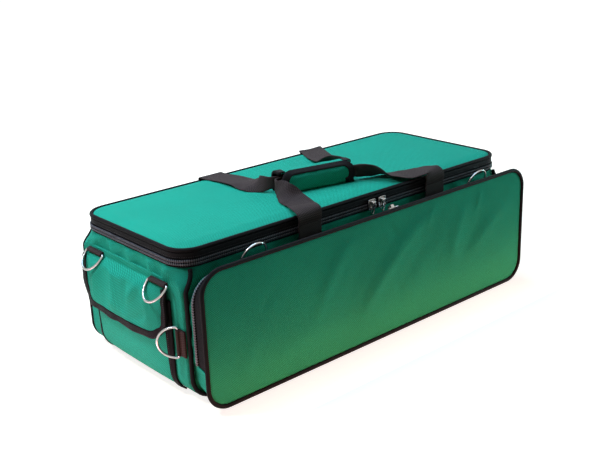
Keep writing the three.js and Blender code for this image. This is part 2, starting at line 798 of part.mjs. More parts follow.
// D-ring in its own plane: the bar along x, the bow towards y
function dRing(half_bar, reach, corner, wire_radius) {
  const arc = (centre_x, start) => range(3).map((step) => {
    const angle = toRadians(start + (90 * step) / 2);
    return point(centre_x + corner * Math.cos(angle), corner + corner * Math.sin(angle), 0);
  });
  const bow = range(bow_steps - 1).map((step) => {
    const angle = ((step + 1) / bow_steps) * Math.PI;
    return point(half_bar * Math.cos(angle), corner + (reach - corner) * Math.sin(angle), 0);
  });
  const path = [...arc(half_bar - corner, -90), ...bow, ...arc(corner - half_bar, 180)];
  return bead(path, z_axis, wire_radius, true);
}

// Webbing loop round a ring's bar: x along the cloth it is sewn to, y out from that cloth
const loop_bore = ring_wire_radius + loop_bore_clearance;
const loop_radius = loop_bore + loop_webbing;

function ringLoop(tail) {
  const rise = loop_webbing - loop_radius;
  const lap = Math.asin(-rise / loop_radius);
  const outline = new THREE.Shape();
  outline.moveTo(-tail, -loop_radius);
  outline.lineTo(0, -loop_radius);
  outline.absarc(0, 0, loop_radius, -Math.PI / 2, Math.PI + lap, false);
  outline.lineTo(-tail, rise);
  outline.closePath();
  const bore = new THREE.Path();
  bore.absarc(0, 0, loop_bore, 0, 2 * Math.PI, true);
  outline.holes.push(bore);
  const rolled = { depth: loop_width, bevelEnabled: false, curveSegments: corner_steps + 1 };
  const loop = new THREE.ExtrudeGeometry(outline, rolled);
  return loop.translate(0, 0, -loop_width / 2);
}

function addRings() {
  const ring = () => dRing(ring_half_bar, ring_reach, ring_corner, ring_wire_radius);
  const down = z_axis.clone().negate();
  const left = x_axis.clone().negate();
  const front = y_axis.clone().negate();
  const tilt = toRadians(flap_ring_tilt);
  const hang = point(-Math.sin(tilt), 0, -Math.cos(tilt));
  ['back', 'front'].forEach((place_name, index) => {
    const height = flap_seam_height - flap_ring_drop;
    const across = [flap_back - flap_ring_back_margin, flap_front + flap_ring_front_margin][index];
    const centre = onEnd(across, height, flap_hem + seat_gap + loop_radius);
    const loop = place(ringLoop(flap_ring_drop / 2), down, left, down.clone().cross(left), centre);
    const hung = place(ring(), y_axis, hang, y_axis.clone().cross(hang), centre);
    addPiece(`flap_ring_loop_${place_name}`, loop, black_cloth);
    addPiece(`flap_ring_${place_name}`, hung, bright_nickel);
  });

  const lean = toRadians(front_ring_lean);
  const stand = point(0, -Math.sin(lean), Math.cos(lean));
  ['left', 'right'].forEach((place_name, index) => {
    const along = alongCase(front_ring_place_shares[index]);
    const centre = point(along, front_y - seat_gap - loop_radius, front_ring_height);
    const loop = place(ringLoop(loop_tail), z_axis, front, z_axis.clone().cross(front), centre);
    const stood = place(ring(), x_axis, stand, x_axis.clone().cross(stand), centre);
    addPiece(`front_ring_loop_${place_name}`, loop, black_cloth);
    addPiece(`front_ring_${place_name}`, stood, bright_nickel);
  });

  const swing = toRadians(tab_ring_swing);
  for (const [place_name, sign] of [['left', -1], ['right', 1]]) {
    const out = point(sign, 0, 0);
    const side_x = case_length / 2 + seat_gap + loop_radius;
    const centre = point(sign * side_x, front_y + tab_ring_margin, tab_ring_height);
    const reach = point(sign * Math.sin(swing), Math.cos(swing), 0);
    const loop = place(ringLoop(tab_tail), y_axis, out, y_axis.clone().cross(out), centre);
    const swung = place(ring(), z_axis, reach, z_axis.clone().cross(reach), centre);
    addPiece(`strap_tab_${place_name}`, loop, black_cloth);
    addPiece(`strap_ring_${place_name}`, swung, bright_nickel);
  }
}

// Webbing laid along a route. Each stop has its place, the direction of the webbing's left edge, and
// a tuck share: 0 lies flat at full width, 1 is folded lengthwise and stands on edge
function webbing(stops, outer_side) {
  const count = stops.length - 1;
  const places = new THREE.CatmullRomCurve3(stops.map(({ at }) => at), false, 'centripetal');
  const samples = range(count * ribbon_steps + 1).map((sample) => {
    const span = Math.min(Math.floor(sample / ribbon_steps), count - 1);
    const share = sample / ribbon_steps - span;
    const side = stops[span].side.clone().lerp(stops[span + 1].side, share);
    const tuck = lerp(stops[span].tuck, stops[span + 1].tuck, THREE.MathUtils.smoothstep(share, 0, 1));
    return { at: places.getPoint(sample / (count * ribbon_steps)), side, tuck };
  });
  return loft(samples.map(({ at, side, tuck }, index) => {
    const before = samples[Math.max(index - 1, 0)].at;
    const after = samples[Math.min(index + 1, samples.length - 1)].at;
    const heading = after.clone().sub(before).normalize();
    const flat_normal = heading.clone().cross(side).normalize();
    const left_edge = flat_normal.clone().cross(heading);
    const roll = (tuck * Math.PI) / 2;
    const normal = flat_normal.multiplyScalar(Math.cos(roll))
      .addScaledVector(left_edge, outer_side * Math.sin(roll));
    const across = normal.clone().cross(heading);
    const half_width = lerp(webbing_width, folded_width, tuck) / 2;
    const half_thickness = (webbing_thickness * (1 + tuck)) / 2;
    return [[1, 1], [1, -1], [-1, -1], [-1, 1]].map(([u, v]) => at.clone()
      .addScaledVector(across, u * half_width)
      .addScaledVector(normal, v * half_thickness));
  }));
}

// Wrap: its own axes run along the grip, across it towards the back of the case, and up
const grip_x = alongCase(grip_x_share);
const grip_y = case_depth * grip_y_share;
const grip_angle = toRadians(grip_turn);
const grip_along = point(Math.cos(grip_angle), Math.sin(grip_angle), 0);
const grip_across = point(-Math.sin(grip_angle), Math.cos(grip_angle), 0);
const grip_base = point(grip_x, grip_y, lid_top + grip_lift);
const inGrip = (along, across, up) => grip_base.clone()
  .addScaledVector(grip_along, along)
  .addScaledVector(grip_across, across)
  .addScaledVector(z_axis, up);

// Stops of a strap from the case's edge to an end of the grip: each row has the share of the way,
// the sway to the left as a share of the way, and the tuck share, which lifts the strap too
function strapStops(edge, end, rows) {
  const way = end.clone().sub(edge).setZ(0);
  const aside = z_axis.clone().cross(way);
  return rows.map(([along, sway, tuck]) => {
    return { at: edge.clone().addScaledVector(way, along).addScaledVector(aside, sway), tuck, end };
  });
}

// Left edge of each stop, square to the way in plan, and the height that clears the lid at both
// edges. Upright stops take the side that is given
const lidTop = (at) => Math.max(lidHeight(at.x, at.y), case_height);

function withSides(stops, upright_side) {
  return stops.map((stop, index) => {
    if (stop.upright) return { ...stop, side: upright_side(stop.at.x) };
    const before = stops[Math.max(index - 1, 0)].at;
    const after = stops[Math.min(index + 1, stops.length - 1)].at;
    const heading = after.clone().sub(before).setZ(0);
    const side = z_axis.clone().cross(heading).normalize();
    if (!stop.end) return { ...stop, side };
    const half_width = lerp(webbing_width, folded_width, stop.tuck) / 2;
    const level = half_width * Math.cos((stop.tuck * Math.PI) / 2);
    const left = lidTop(stop.at.clone().addScaledVector(side, level));
    const right = lidTop(stop.at.clone().addScaledVector(side, -level));
    const lying = Math.max(lidTop(stop.at), (left + right) / 2) + webbing_lift;
    const rise = half_width * Math.sin((stop.tuck * Math.PI) / 2);
    const at = stop.at.clone().setZ(Math.max(lying + rise, lerp(lying, stop.end.z, stop.tuck)));
    return { ...stop, at, side: side.setZ((left - right) / webbing_width) };
  });
}

// A handle: up over the lid's edge at the left, through the grip and down over the edge at the right.
// to_front is 1 for the handle that comes from the front and -1 for the one from the back
function handle(places, stand_off, fold_height, to_front, left_rows, right_rows) {
  const edge_y = -to_front * (case_depth / 2 + stand_off);
  const strand = -to_front * grip_strand_spread;
  const middle = grip_height / 2;
  const left_end = inGrip(-grip_length / 2, strand, middle);
  const right_end = inGrip(grip_length / 2, strand, middle);
  const climb = (x) => {
    const top = case_height + webbing_lift;
    const upright = true;
    return [
      { at: point(x, edge_y, fold_height), tuck: 0, upright },
      { at: point(x, edge_y, lerp(fold_height, top, 0.5)), tuck: 0, upright },
      { at: point(x, edge_y + (to_front * strap_turn) / 3, top), tuck: 0, upright },
    ];
  };
  const [left_edge, right_edge] = places.map((x) => point(x, edge_y + to_front * strap_turn, 0));
  const stops = [
    ...climb(places[0]), ...strapStops(left_edge, left_end, left_rows),
    { at: left_end, tuck: 1 }, { at: inGrip(0, strand, middle), tuck: 1 }, { at: right_end, tuck: 1 },
    ...strapStops(right_edge, right_end, right_rows).reverse(), ...climb(places[1]).reverse(),
  ];
  const upright_side = (x) => point(-to_front * Math.sign(grip_x - x), 0, 0);
  return webbing(withSides(stops, upright_side), to_front);
}

const front_left_shares = [
  [0.08, 0, 0], [0.28, -0.036, 0], [0.5, -0.006, 0.1], [0.7, 0.064, 0.6], [0.87, 0.085, 0.95],
  [0.975, 0.05, 1],
];
const front_right_shares = [
  [0.08, 0, 0], [0.28, 0.02, 0], [0.5, 0.03, 0.12], [0.72, 0.02, 0.6], [0.9, 0.008, 0.98],
];
const back_left_shares = [
  [0.06, 0, 0], [0.3, 0, 0], [0.52, -0.03, 0.05], [0.72, -0.08, 0.55], [0.87, -0.085, 0.95], [0.97, -0.04, 1],
];
const back_right_shares = [
  [0.06, 0, 0], [0.26, 0, 0], [0.5, 0.02, 0.05], [0.72, 0.07, 0.5], [0.88, 0.1, 0.92], [0.97, 0.05, 1],
];

function addHandles() {
  const front_strap_places = front_strap_place_shares.map(alongCase);
  const back_strap_places = back_strap_place_shares.map(alongCase);
  const front = handle(
    front_strap_places, front_strap_out, front_fold_height, 1, front_left_shares, front_right_shares,
  );
  const back = handle(
    back_strap_places, back_strap_out, back_fold_height, -1, back_left_shares, back_right_shares,
  );
  addPiece('front_handle_webbing', front, black_cloth);
  addPiece('back_handle_webbing', back, black_cloth);

  ['left', 'right'].forEach((side_name, index) => {
    const line = [
      [front_strap_seam_out, front_strap_seam_height],
      [front_strap_out * front_strap_bend_share, front_strap_bend_height - strap_turn],
      [front_strap_out, front_strap_bend_height],
      [front_strap_out, front_strap_top],
    ];
    const stops = line.map(([out, height]) => ({
      at: point(front_strap_places[index], front_y - out, height),
      side: x_axis.clone().negate(),
      tuck: 0,
    }));
    addPiece(`front_strap_${side_name}`, webbing(stops, 1), black_cloth);

    const flatRun = (y, low, high) => {
      const run = new THREE.BoxGeometry(webbing_width, webbing_thickness, high - low);
      return run.translate(back_strap_places[index], y, (low + high) / 2);
    };
    const back_y = case_depth / 2 + seat_gap + webbing_thickness / 2;
    const sewn = flatRun(back_y, back_strap_top - back_strap_length, back_strap_top);
    const on_lid = flatRun(case_depth / 2 + back_strap_out, lid_strap_bottom, lid_strap_top);
    addPiece(`back_strap_${side_name}`, sewn, black_cloth);
    addPiece(`lid_strap_${side_name}`, on_lid, black_cloth);
  });
}

function addGrip() {
  const count = corner_steps + 1;
  const outline = roundedRectangle(grip_half_width, 0, grip_height, grip_low_radius, grip_high_radius);
  const low_front = outline.slice(3 * count);
  const back_leaf = [...low_front.slice(3), ...outline.slice(0, 2 * count - 1)];
  const lap_edge = { u: grip_lap, v: grip_height, out_u: 0, out_v: 1 };
  const front_leaf = [lap_edge, ...outline.slice(2 * count, 3 * count), ...low_front.slice(1, 3)];
  const leafPoint = ({ u, v, out_u, out_v }, along, inward) => {
    return inGrip(along, u - out_u * inward, v - out_v * inward);
  };
  const padPoint = (across, up, inward) => {
    const station = back_leaf[Math.round(up * (back_leaf.length - 1))];
    return leafPoint(station, (across - 0.5) * grip_length, inward);
  };
  addPiece('grip_pad', sheet(
    1, back_leaf.length - 1,
    (across, up) => padPoint(across, up, 0), (across, up) => padPoint(across, up, grip_wall),
  ), green_cloth);

  // The leaf's free edge has rounded corners, so it is shorter there
  const shortened = (across) => {
    const past = Math.max(Math.abs((across - 0.5) * grip_length) - grip_length / 2 + grip_leaf_corner, 0);
    return grip_leaf_corner - Math.sqrt(grip_leaf_corner ** 2 - past ** 2);
  };
  const leafStation = (across, up) => {
    const index = Math.round(up * (front_leaf.length - 1));
    const station = front_leaf[index];
    if (index > 0) return station;
    return { ...station, u: Math.max(station.u - shortened(across), front_leaf[1].u + seat_gap) };
  };
  const flapPoint = (across, up, inward) => {
    const along_share = Math.sin((across - 0.5) * Math.PI) / 2;
    return leafPoint(leafStation(along_share + 0.5, up), along_share * grip_length, inward);
  };
  addPiece('grip_flap', sheet(
    sheet_columns, front_leaf.length - 1,
    (across, up) => flapPoint(across, up, 0), (across, up) => flapPoint(across, up, grip_wall),
  ), green_cloth);
}

// Slider: x along the zip, y out from the tape, z to the side where it wraps the coil. The other
// side is open, so that the half of the zip there can leave it
function slider() {
  const half = slider_width / 2 - slider_corner;
  const outline = roundedRectangle(
    half + slider_corner, -slider_height / 2, slider_height / 2, slider_corner, slider_corner, 2,
  );
  const plate_shape = new THREE.Shape(outline.map(({ u, v }) => new THREE.Vector2(u, v)));
  const plate = new THREE.ExtrudeGeometry(plate_shape, { depth: slider_plate, bevelEnabled: false });
  place(plate, x_axis, z_axis.clone().negate(), y_axis, point(0, slider_plate_out, 0));

  const arch_out = slider_plate_out + slider_plate / 2;
  const arch_top = slider_plate_out + slider_plate + arch_gap + arch_bar;
  const arch_outline = roundedRectangle(arch_height / 2, arch_out, arch_top, arch_bar / 4, arch_bar, 2);
  const arch_shape = new THREE.Shape(arch_outline.map(({ u, v }) => new THREE.Vector2(u, v)));
  const eye_top = arch_top - arch_bar;
  const eye = roundedRectangle(
    arch_height / 2 - arch_bar, eye_top - arch_gap, eye_top, arch_bar / 4, arch_bar / 2, 2,
  );
  arch_shape.holes.push(new THREE.Path(eye.map(({ u, v }) => new THREE.Vector2(u, v))));
  const arch = new THREE.ExtrudeGeometry(arch_shape, { depth: arch_width, bevelEnabled: false });
  place(arch, z_axis, y_axis, x_axis.clone().negate(), point(arch_width / 2, 0, 0));

  const flange_depth = slider_plate_out + slider_plate / 2 - 2 * seat_gap;
  const flange = new THREE.BoxGeometry(slider_width - 2 * slider_corner, flange_depth, slider_flange);
  const flange_z = 2 * coil_radius + slider_flange_clearance + slider_flange / 2;
  flange.translate(0, 2 * seat_gap + flange_depth / 2, flange_z);
  return join(plate, arch, flange);
}

const pull_out = slider_plate_out + slider_plate + pull_wire_radius + seat_gap;
const pull_side = arch_height / 2 - arch_bar - pull_wire_radius - seat_gap;

function addSliders() {
  const down = z_axis.clone().negate();
  const front = y_axis.clone().negate();
  const tape_y = front_y + rim_inset;
  const pull = (reach) => dRing(pull_half_bar, reach, pull_corner, pull_wire_radius);
  ['left', 'right'].forEach((side_name, index) => {
    const middle = point(slider_place + (index - 0.5) * slider_spacing, tape_y, split_height);
    addPiece(`main_slider_${side_name}`, place(slider(), x_axis, front, down, middle), bright_nickel);
    const bar = middle.clone().addScaledVector(front, pull_out).addScaledVector(down, pull_side);
    const hung = place(pull(main_pull_reach), x_axis, down, x_axis.clone().cross(down), bar);
    addPiece(`main_pull_${side_name}`, hung, bright_nickel);
  });

  const top = pocketOutline(pocket_chain_out)[1];
  const rise = pocketOutline(pocket_front_out)[1] - pocketOutline(pocket_tape_out)[1];
  const forward = point(0, pocket_tape_out - pocket_front_out, rise).normalize();
  const backward = forward.clone().negate();
  const left = x_axis.clone().negate();
  const outward = backward.clone().cross(left);
  const middle = point(pocket_slider_place, front_y - pocket_chain_out, top)
    .addScaledVector(outward, seat_gap);
  addPiece('pocket_slider', place(slider(), left, outward, backward, middle), bright_nickel);
  const bar = middle.clone().addScaledVector(outward, pull_out).addScaledVector(forward, pull_side);
  const laid = place(pull(pocket_pull_reach), x_axis, forward, x_axis.clone().cross(forward), bar);
  addPiece('pocket_pull', laid, bright_nickel);
}

addTub();
addFoam();
addRimPiping();
addZip();
addLid();
addPocket();
addPouch();
addFlap();
addRings();
addHandles();
addGrip();
addSliders();

export default bagpipe_case;
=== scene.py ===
# A soft case for a set of pipes: green woven nylon over foam, bound in black, with a zipped lid, a
# zipped front pocket, a flapped pouch on its left end and webbing handles under a padded wrap.
# Lengths in the sections below are in millimetres, and each piece's mesh is scaled to metres.

import math

import bpy
import bmesh
from mathutils import Matrix, Vector, noise


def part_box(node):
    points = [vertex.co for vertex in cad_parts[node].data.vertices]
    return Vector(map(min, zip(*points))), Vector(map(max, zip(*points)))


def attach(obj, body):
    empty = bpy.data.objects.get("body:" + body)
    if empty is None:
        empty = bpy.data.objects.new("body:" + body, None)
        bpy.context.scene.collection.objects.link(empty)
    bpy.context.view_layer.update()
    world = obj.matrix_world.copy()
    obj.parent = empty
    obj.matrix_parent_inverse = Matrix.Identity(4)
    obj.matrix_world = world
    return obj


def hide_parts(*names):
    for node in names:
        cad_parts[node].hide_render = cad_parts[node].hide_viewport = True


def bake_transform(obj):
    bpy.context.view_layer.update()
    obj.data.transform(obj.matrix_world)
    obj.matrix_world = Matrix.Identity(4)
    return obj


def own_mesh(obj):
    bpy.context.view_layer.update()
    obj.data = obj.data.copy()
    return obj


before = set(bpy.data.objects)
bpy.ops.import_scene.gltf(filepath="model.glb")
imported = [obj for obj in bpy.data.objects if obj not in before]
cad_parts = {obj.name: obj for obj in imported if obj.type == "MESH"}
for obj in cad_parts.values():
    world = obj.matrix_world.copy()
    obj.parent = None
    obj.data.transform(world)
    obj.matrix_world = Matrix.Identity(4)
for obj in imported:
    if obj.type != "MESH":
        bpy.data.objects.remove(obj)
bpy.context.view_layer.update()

# Camera. The photograph looks at the pouch end and the front pocket from a little above, with a
# short telephoto lens.
view_point = Vector((-1.0464, -1.2010, 0.7104))
yaw, pitch, roll = (math.radians(angle) for angle in (40.56, 19.19, -2.14))
ahead = Vector((math.sin(yaw) * math.cos(pitch), math.cos(yaw) * math.cos(pitch), -math.sin(pitch)))
level_right = Vector((math.cos(yaw), -math.sin(yaw), 0))
level_up = level_right.cross(ahead)
to_right = level_right * math.cos(roll) + level_up * math.sin(roll)
to_up = level_up * math.cos(roll) - level_right * math.sin(roll)


def pick(*pieces):
    """Selects these pieces and nothing else. The first becomes the active one."""
    bpy.ops.object.select_all(action="DESELECT")
    for piece in pieces:
        piece.select_set(True)
    if pieces:
        bpy.context.view_layer.objects.active = pieces[0]


pick()
bpy.ops.object.camera_add()
camera = bpy.context.object
camera.matrix_world = Matrix.Translation(view_point) @ Matrix(
    (to_right, to_up, -ahead)).transposed().to_4x4()
camera.data.lens = 56.0
camera.data.sensor_width = 36
camera.data.clip_end = 60
bpy.context.scene.camera = camera

# Studio. A white paper floor that runs out to plain white, a large cool lamp overhead, a small one at
# the upper left, one that rakes the front from the right, low strips before the pocket and the pouch,
# and a white surround for the metal to mirror.


def feed(tree, node, inputs):
    """Sets a node's inputs, by label or number, each to a value or to another node's output."""
    for label, value in inputs.items():
        if isinstance(value, bpy.types.NodeSocket):
            tree.links.new(value, node.inputs[label])
        else:
            node.inputs[label].default_value = value
    return node


def add_node(tree, kind, inputs, **settings):
    node = tree.nodes.new("ShaderNode" + kind)
    for setting, value in settings.items():
        setattr(node, setting, value)
    return feed(tree, node, inputs)


def calculate(tree, operation, first, second=0.0):
    return add_node(tree, "Math", {0: first, 1: second, 2: 0.5}, operation=operation).outputs[0]


def spread(tree, value, low, high):
    """Carries a value of 0 to 1 over to the range from low to high."""
    return add_node(tree, "MapRange", {"Value": value, "To Min": low, "To Max": high}).outputs[0]


def seen_directly(tree):
    """1 on rays from the camera, off metal or through clear things, and 0 on the light that falls."""
    rays = add_node(tree, "LightPath", {}).outputs
    seen = calculate(tree, "MAXIMUM", rays["Is Camera Ray"], rays["Is Glossy Ray"])
    return calculate(tree, "MAXIMUM", seen, rays["Is Transmission Ray"])


white_from, white_at = 0.42, 0.95
pick()
bpy.ops.mesh.primitive_plane_add(size=24)
floor = bpy.context.object
floor.name = "paper_floor"
paper = bpy.data.materials.new("white_paper")
paper.use_nodes = True
tree = paper.node_tree
matt_white = feed(tree, tree.nodes["Principled BSDF"], {
    "Base Color": (0.62, 0.53, 0.38, 1), "Roughness": 0.9, "Specular IOR Level": 0.1})
places = add_node(tree, "TexCoord", {})
distance = add_node(tree, "VectorMath", {0: places.outputs["Object"]}, operation="LENGTH")
whiter = add_node(tree, "MapRange", {
    "Value": distance.outputs["Value"], "From Min": white_from, "From Max": white_at, "To Min": 0.8})
level = calculate(tree, "MULTIPLY", seen_directly(tree), whiter.outputs[0])
backdrop = add_node(tree, "Emission", {"Strength": level})
glow = add_node(tree, "AddShader", {0: matt_white.outputs[0], 1: backdrop.outputs[0]})
feed(tree, tree.nodes["Material Output"], {"Surface": glow.outputs[0]})
floor.data.materials.append(paper)

world = bpy.data.worlds.new("studio")
bpy.context.scene.world = world
world.use_nodes = True
tree = world.node_tree
feed(tree, tree.nodes["Background"], {
    "Color": (1, 1, 1, 1), "Strength": spread(tree, seen_directly(tree), 0.06, 1.0)})

for name, place, target, width, height, power, colour in (
        ("overhead", (-0.15, 0.55, 1.9), (-0.05, 0, 0.1), 1.5, 1.5, 35, (0.56, 0.92, 1.35)),
        ("upper_left", (-0.9, 0.25, 1.1), (-0.38, 0, 0.15), 0.12, 0.12, 6.8, (0.95, 0.98, 1.2)),
        ("pouch_end", (-0.52, -0.02, 0.02), (-0.37, -0.02, 0.04), 0.3, 0.03, 0.15, (2.2, 0.97, 1.3)),
        ("raking", (2.2, -0.85, 0.5), (0.0, -0.19, 0.12), 0.3, 0.3, 13, (0.45, 1.0, 1.1)),
        ("low_strip", (0.05, -0.285, 0.015), (0.05, -0.1, 0.02), 1.1, 0.02, 0.22, (3.6, 0.9, 0.4))):
    bpy.ops.object.light_add(type="AREA", location=place)
    lamp = bpy.context.object
    lamp.name = name
    lamp.rotation_euler = (Vector(target) - Vector(place)).to_track_quat("-Z", "Y").to_euler()
    lamp.data.shape = "RECTANGLE"
    lamp.data.size, lamp.data.size_y = width, height
    lamp.data.energy = power
    lamp.data.color = colour

bpy.context.scene.view_settings.view_transform = "Standard"

# Tub. The green outer cloth is woven nylon, sewn with pipings at its front and back faces. The ends
# curve under at the floor, and the upright corners open out to the round corners of the lid.
MM = 0.001
shell_thickness, panel_thickness, lining_thickness, thin_cloth = 1.5, 1.2, 0.9, 0.8
case_length, case_depth, rim_height = 740, 287, 212.3
bottom_radius, blend_height, foot_corner, rim_corner = 40, 34, 6, 38
wall_share, curve_share, rim_draw = 0.6, 0.2, 2
front_y = -case_depth / 2


def cut_grid(name, xs, ys, place):
    """A grid of cloth, its columns and rows at these distances. Its points go to place(column, row)."""
    pick()
    bpy.ops.mesh.primitive_grid_add(x_subdivisions=len(xs) - 1, y_subdivisions=len(ys) - 1, size=2)
    piece = bpy.context.object
    piece.name = piece.data.name = name
    for vertex in piece.data.vertices:
        row, column = divmod(vertex.index, len(xs))
        vertex.co = Vector(place(column, row)) * MM
    cloth_map = piece.data.uv_layers.active.data
    for corner in piece.data.loops:
        row, column = divmod(corner.vertex_index, len(xs))
        cloth_map[corner.index].uv = (xs[column] * MM, ys[row] * MM)
    return piece


def cut_cloth(name, columns, rows, place, width, length):
    """An even grid of cloth, whose shares u and v of its width and length go to place(u, v)."""
    xs = [width * column / columns for column in range(columns + 1)]
    ys = [length * row / rows for row in range(rows + 1)]
    return cut_grid(name, xs, ys, lambda column, row: place(column / columns, row / rows))


def close_up(piece, towards=None, middle=None, fill=False):
    """Joins the edges that meet, and turns the faces outwards, towards a direction or off a middle."""
    shape = bmesh.new()
    shape.from_mesh(piece.data)
    bmesh.ops.remove_doubles(shape, verts=shape.verts, dist=0.00002)
    bmesh.ops.dissolve_degenerate(shape, edges=shape.edges, dist=0.000005)
    if fill:
        bmesh.ops.holes_fill(shape, edges=[edge for edge in shape.edges if edge.is_boundary])
    if towards is None and middle is None:
        bmesh.ops.recalc_face_normals(shape, faces=shape.faces)
    else:
        facing = 0
        for face in shape.faces:
            way = Vector(towards) if middle is None else face.calc_center_median() - middle
            facing += face.normal.dot(way) * face.calc_area()
        if facing < 0:
            bmesh.ops.reverse_faces(shape, faces=shape.faces)
    shape.to_mesh(piece.data)
    shape.free()


def add_modifier(piece, kind, **settings):
    """Adds a modifier to a piece and applies it."""
    pick(piece)
    bpy.ops.object.modifier_add(type=kind)
    modifier = piece.modifiers[-1]
    for setting, value in settings.items():
        setattr(modifier, setting, value)
    bpy.ops.object.modifier_apply(modifier=modifier.name)


def thicken(piece, thickness, towards=None, middle=None, offset=-1):
    """Turns the faces of a sheet outwards and gives it its thickness."""
    close_up(piece, towards, middle)
    add_modifier(piece, "SOLIDIFY", thickness=thickness * MM, offset=offset)


def round_edges(piece, width, angle):
    """Rounds a piece's edges that are sharper than an angle in degrees."""
    add_modifier(piece, "BEVEL", width=width * MM, segments=2, limit_method="ANGLE",
                 angle_limit=math.radians(angle))


def dress(piece, material):
    piece.data.materials.clear()
    piece.data.materials.append(material)


def sew_on(piece, body, slot, material, *nodes):
    """Gives a piece its material and the body it moves with, if just one, and hides the nodes it stands
    for.
    """
    dress(piece, material)
    for face in piece.data.polygons:
        face.use_smooth = True
    if body:
        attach(piece, body)
    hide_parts(*nodes)


def smooth_step(value, low, high):
    share = min(max((value - low) / (high - low), 0), 1)
    return share * share * (3 - 2 * share)


back_share, corner_share, end_share = 0.14, 0.05, 0.12
left_share = back_share + 2 * corner_share + end_share


def ring_place(u, half_length, half_depth, radius):
    """A place round a rounded rectangle, from the middle of the back by the left, front and right."""
    if u > 0.5:
        x, y, out_x, out_y = ring_place(1 - u, half_length, half_depth, radius)
        return -x, y, -out_x, out_y
    flat_x, flat_y = half_length - radius, half_depth - radius
    knots = ((0, 0, flat_y, 90), (back_share, -flat_x, flat_y, 90),
             (back_share + corner_share, -flat_x, flat_y, 180),
             (left_share - corner_share, -flat_x, -flat_y, 180),
             (left_share, -flat_x, -flat_y, 270), (0.5, 0, -flat_y, 270))
    for near, far in zip(knots, knots[1:]):
        if u <= far[0] + 1e-9:
            break
    along = min((u - near[0]) / (far[0] - near[0]), 1)
    x, y, angle = (a + (b - a) * along for a, b in zip(near[1:], far[1:]))
    out_x, out_y = math.cos(math.radians(angle)), math.sin(math.radians(angle))
    return x + radius * out_x, y + radius * out_y, out_x, out_y


def corner_at(height):
    """How far the upright corners have opened out to the lid's at a height, and their radius."""
    share = smooth_step(height, rim_height - blend_height, rim_height)
    return share, foot_corner + (rim_corner - foot_corner) * share


def tub_level(height, inset):
    """Half length, half depth and corner radius of the tub at a height, drawn in by an inset."""
    share, radius = corner_at(height)
    drop = max(bottom_radius - height, 0)
    bend = math.sqrt(max((bottom_radius - inset) ** 2 - drop ** 2, 0))
    half_length = case_length / 2 - bottom_radius + bend - rim_draw * share
    return half_length, case_depth / 2 - inset - rim_draw * share, max(radius - inset, 1.5)


def tub_place(u, v, inset, top):
    """A place down the wall, then round the bottom curve, and last in along the bottom."""
    if v <= wall_share:
        height = top + (bottom_radius - top) * v / wall_share
    else:
        turn = math.radians(90 * min((v - wall_share) / curve_share, 1))
        height = bottom_radius - (bottom_radius - inset) * math.sin(turn)
    half_length, half_depth, radius = tub_level(min(height, rim_height), inset)
    shrink = 1 - max((v - wall_share - curve_share) / (1 - wall_share - curve_share), 0)
    x, y, out_x, out_y = ring_place(u, half_length, half_depth, radius)
    return x * shrink, y * shrink, height, out_x, out_y


def creases(across, along, folds):
    """Height of soft folds. Each has its middle, direction in degrees, length, width and height."""
    rise = 0
    for middle_across, middle_along, direction, length, width, height in folds:
        turn = math.radians(direction)
        off_across, off_along = across - middle_across, along - middle_along
        run = off_across * math.cos(turn) + off_along * math.sin(turn)
        aside = off_along * math.cos(turn) - off_across * math.sin(turn)
        bow = aside + 0.12 * length * (run / length) ** 2
        rise += height * math.exp(-(bow / width) ** 2) * math.exp(-(run / length) ** 4)
    return rise


left_end_folds = ((100, 203, 118, 26, 8, 3.8), (76, 198, 104, 20, 7, -3.0), (50, 202, 70, 22, 8, 3.2),
                  (22, 198, 110, 20, 8, -2.8), (-4, 203, 76, 22, 9, 3.2), (-28, 199, 112, 20, 8, -3.0),
                  (-62, 202, 84, 22, 7, 4.2), (-84, 196, 60, 24, 8, -3.5), (-104, 202, 112, 26, 9, 3.8),
                  (-124, 188, 78, 30, 7, -2.8), (-126, 150, 92, 50, 6, 2.0), (-122, 96, 84, 44, 7, -1.5),
                  (132, 150, 88, 50, 6, 2.0), (-60, 30, 20, 50, 9, 1.0), (40, 34, 160, 50, 9, 1.0))


def outer_shell_place(u, v):
    """The tub's surface with its slow waves, and the loose cloth and folds of the left end."""
    x, y, height, out_x, out_y = tub_place(u, v, 0, rim_height)
    swell = 0.8 * noise.noise(Vector((x, y, height * 1.4)) * 0.016)
    if height > 4:
        swell += 0.5 * noise.noise(Vector((x, y, height)) * 0.045)
        if out_x < -0.3:
            loose = 1.6 * smooth_step(height, 150, 190) + creases(y, height, left_end_folds)
            swell += -out_x * loose * smooth_step(rim_height - height, 0, 7)
        swell = max(swell, 0) * smooth_step(height, 0, 30)
    else:
        swell = 0
    return x + out_x * swell, y + out_y * swell, height


def new_mask(name, sockets):
    """An empty shader node group, with its sockets in order."""
    group = bpy.data.node_groups.new(name, "ShaderNodeTree")
    for label, way, kind in sockets:
        group.interface.new_socket(label, in_out=way, socket_type=kind)
    return group, group.nodes.new("NodeGroupInput"), group.nodes.new("NodeGroupOutput")


def mix_values(tree, factor, low, high):
    return add_node(tree, "Mix", {0: factor, 2: low, 3: high}).outputs[0]


def mix_colours(tree, factor, low, high):
    mix = add_node(tree, "Mix", {0: factor, 6: (*low, 1), 7: (*high, 1)}, data_type="RGBA")
    return mix.outputs[2]
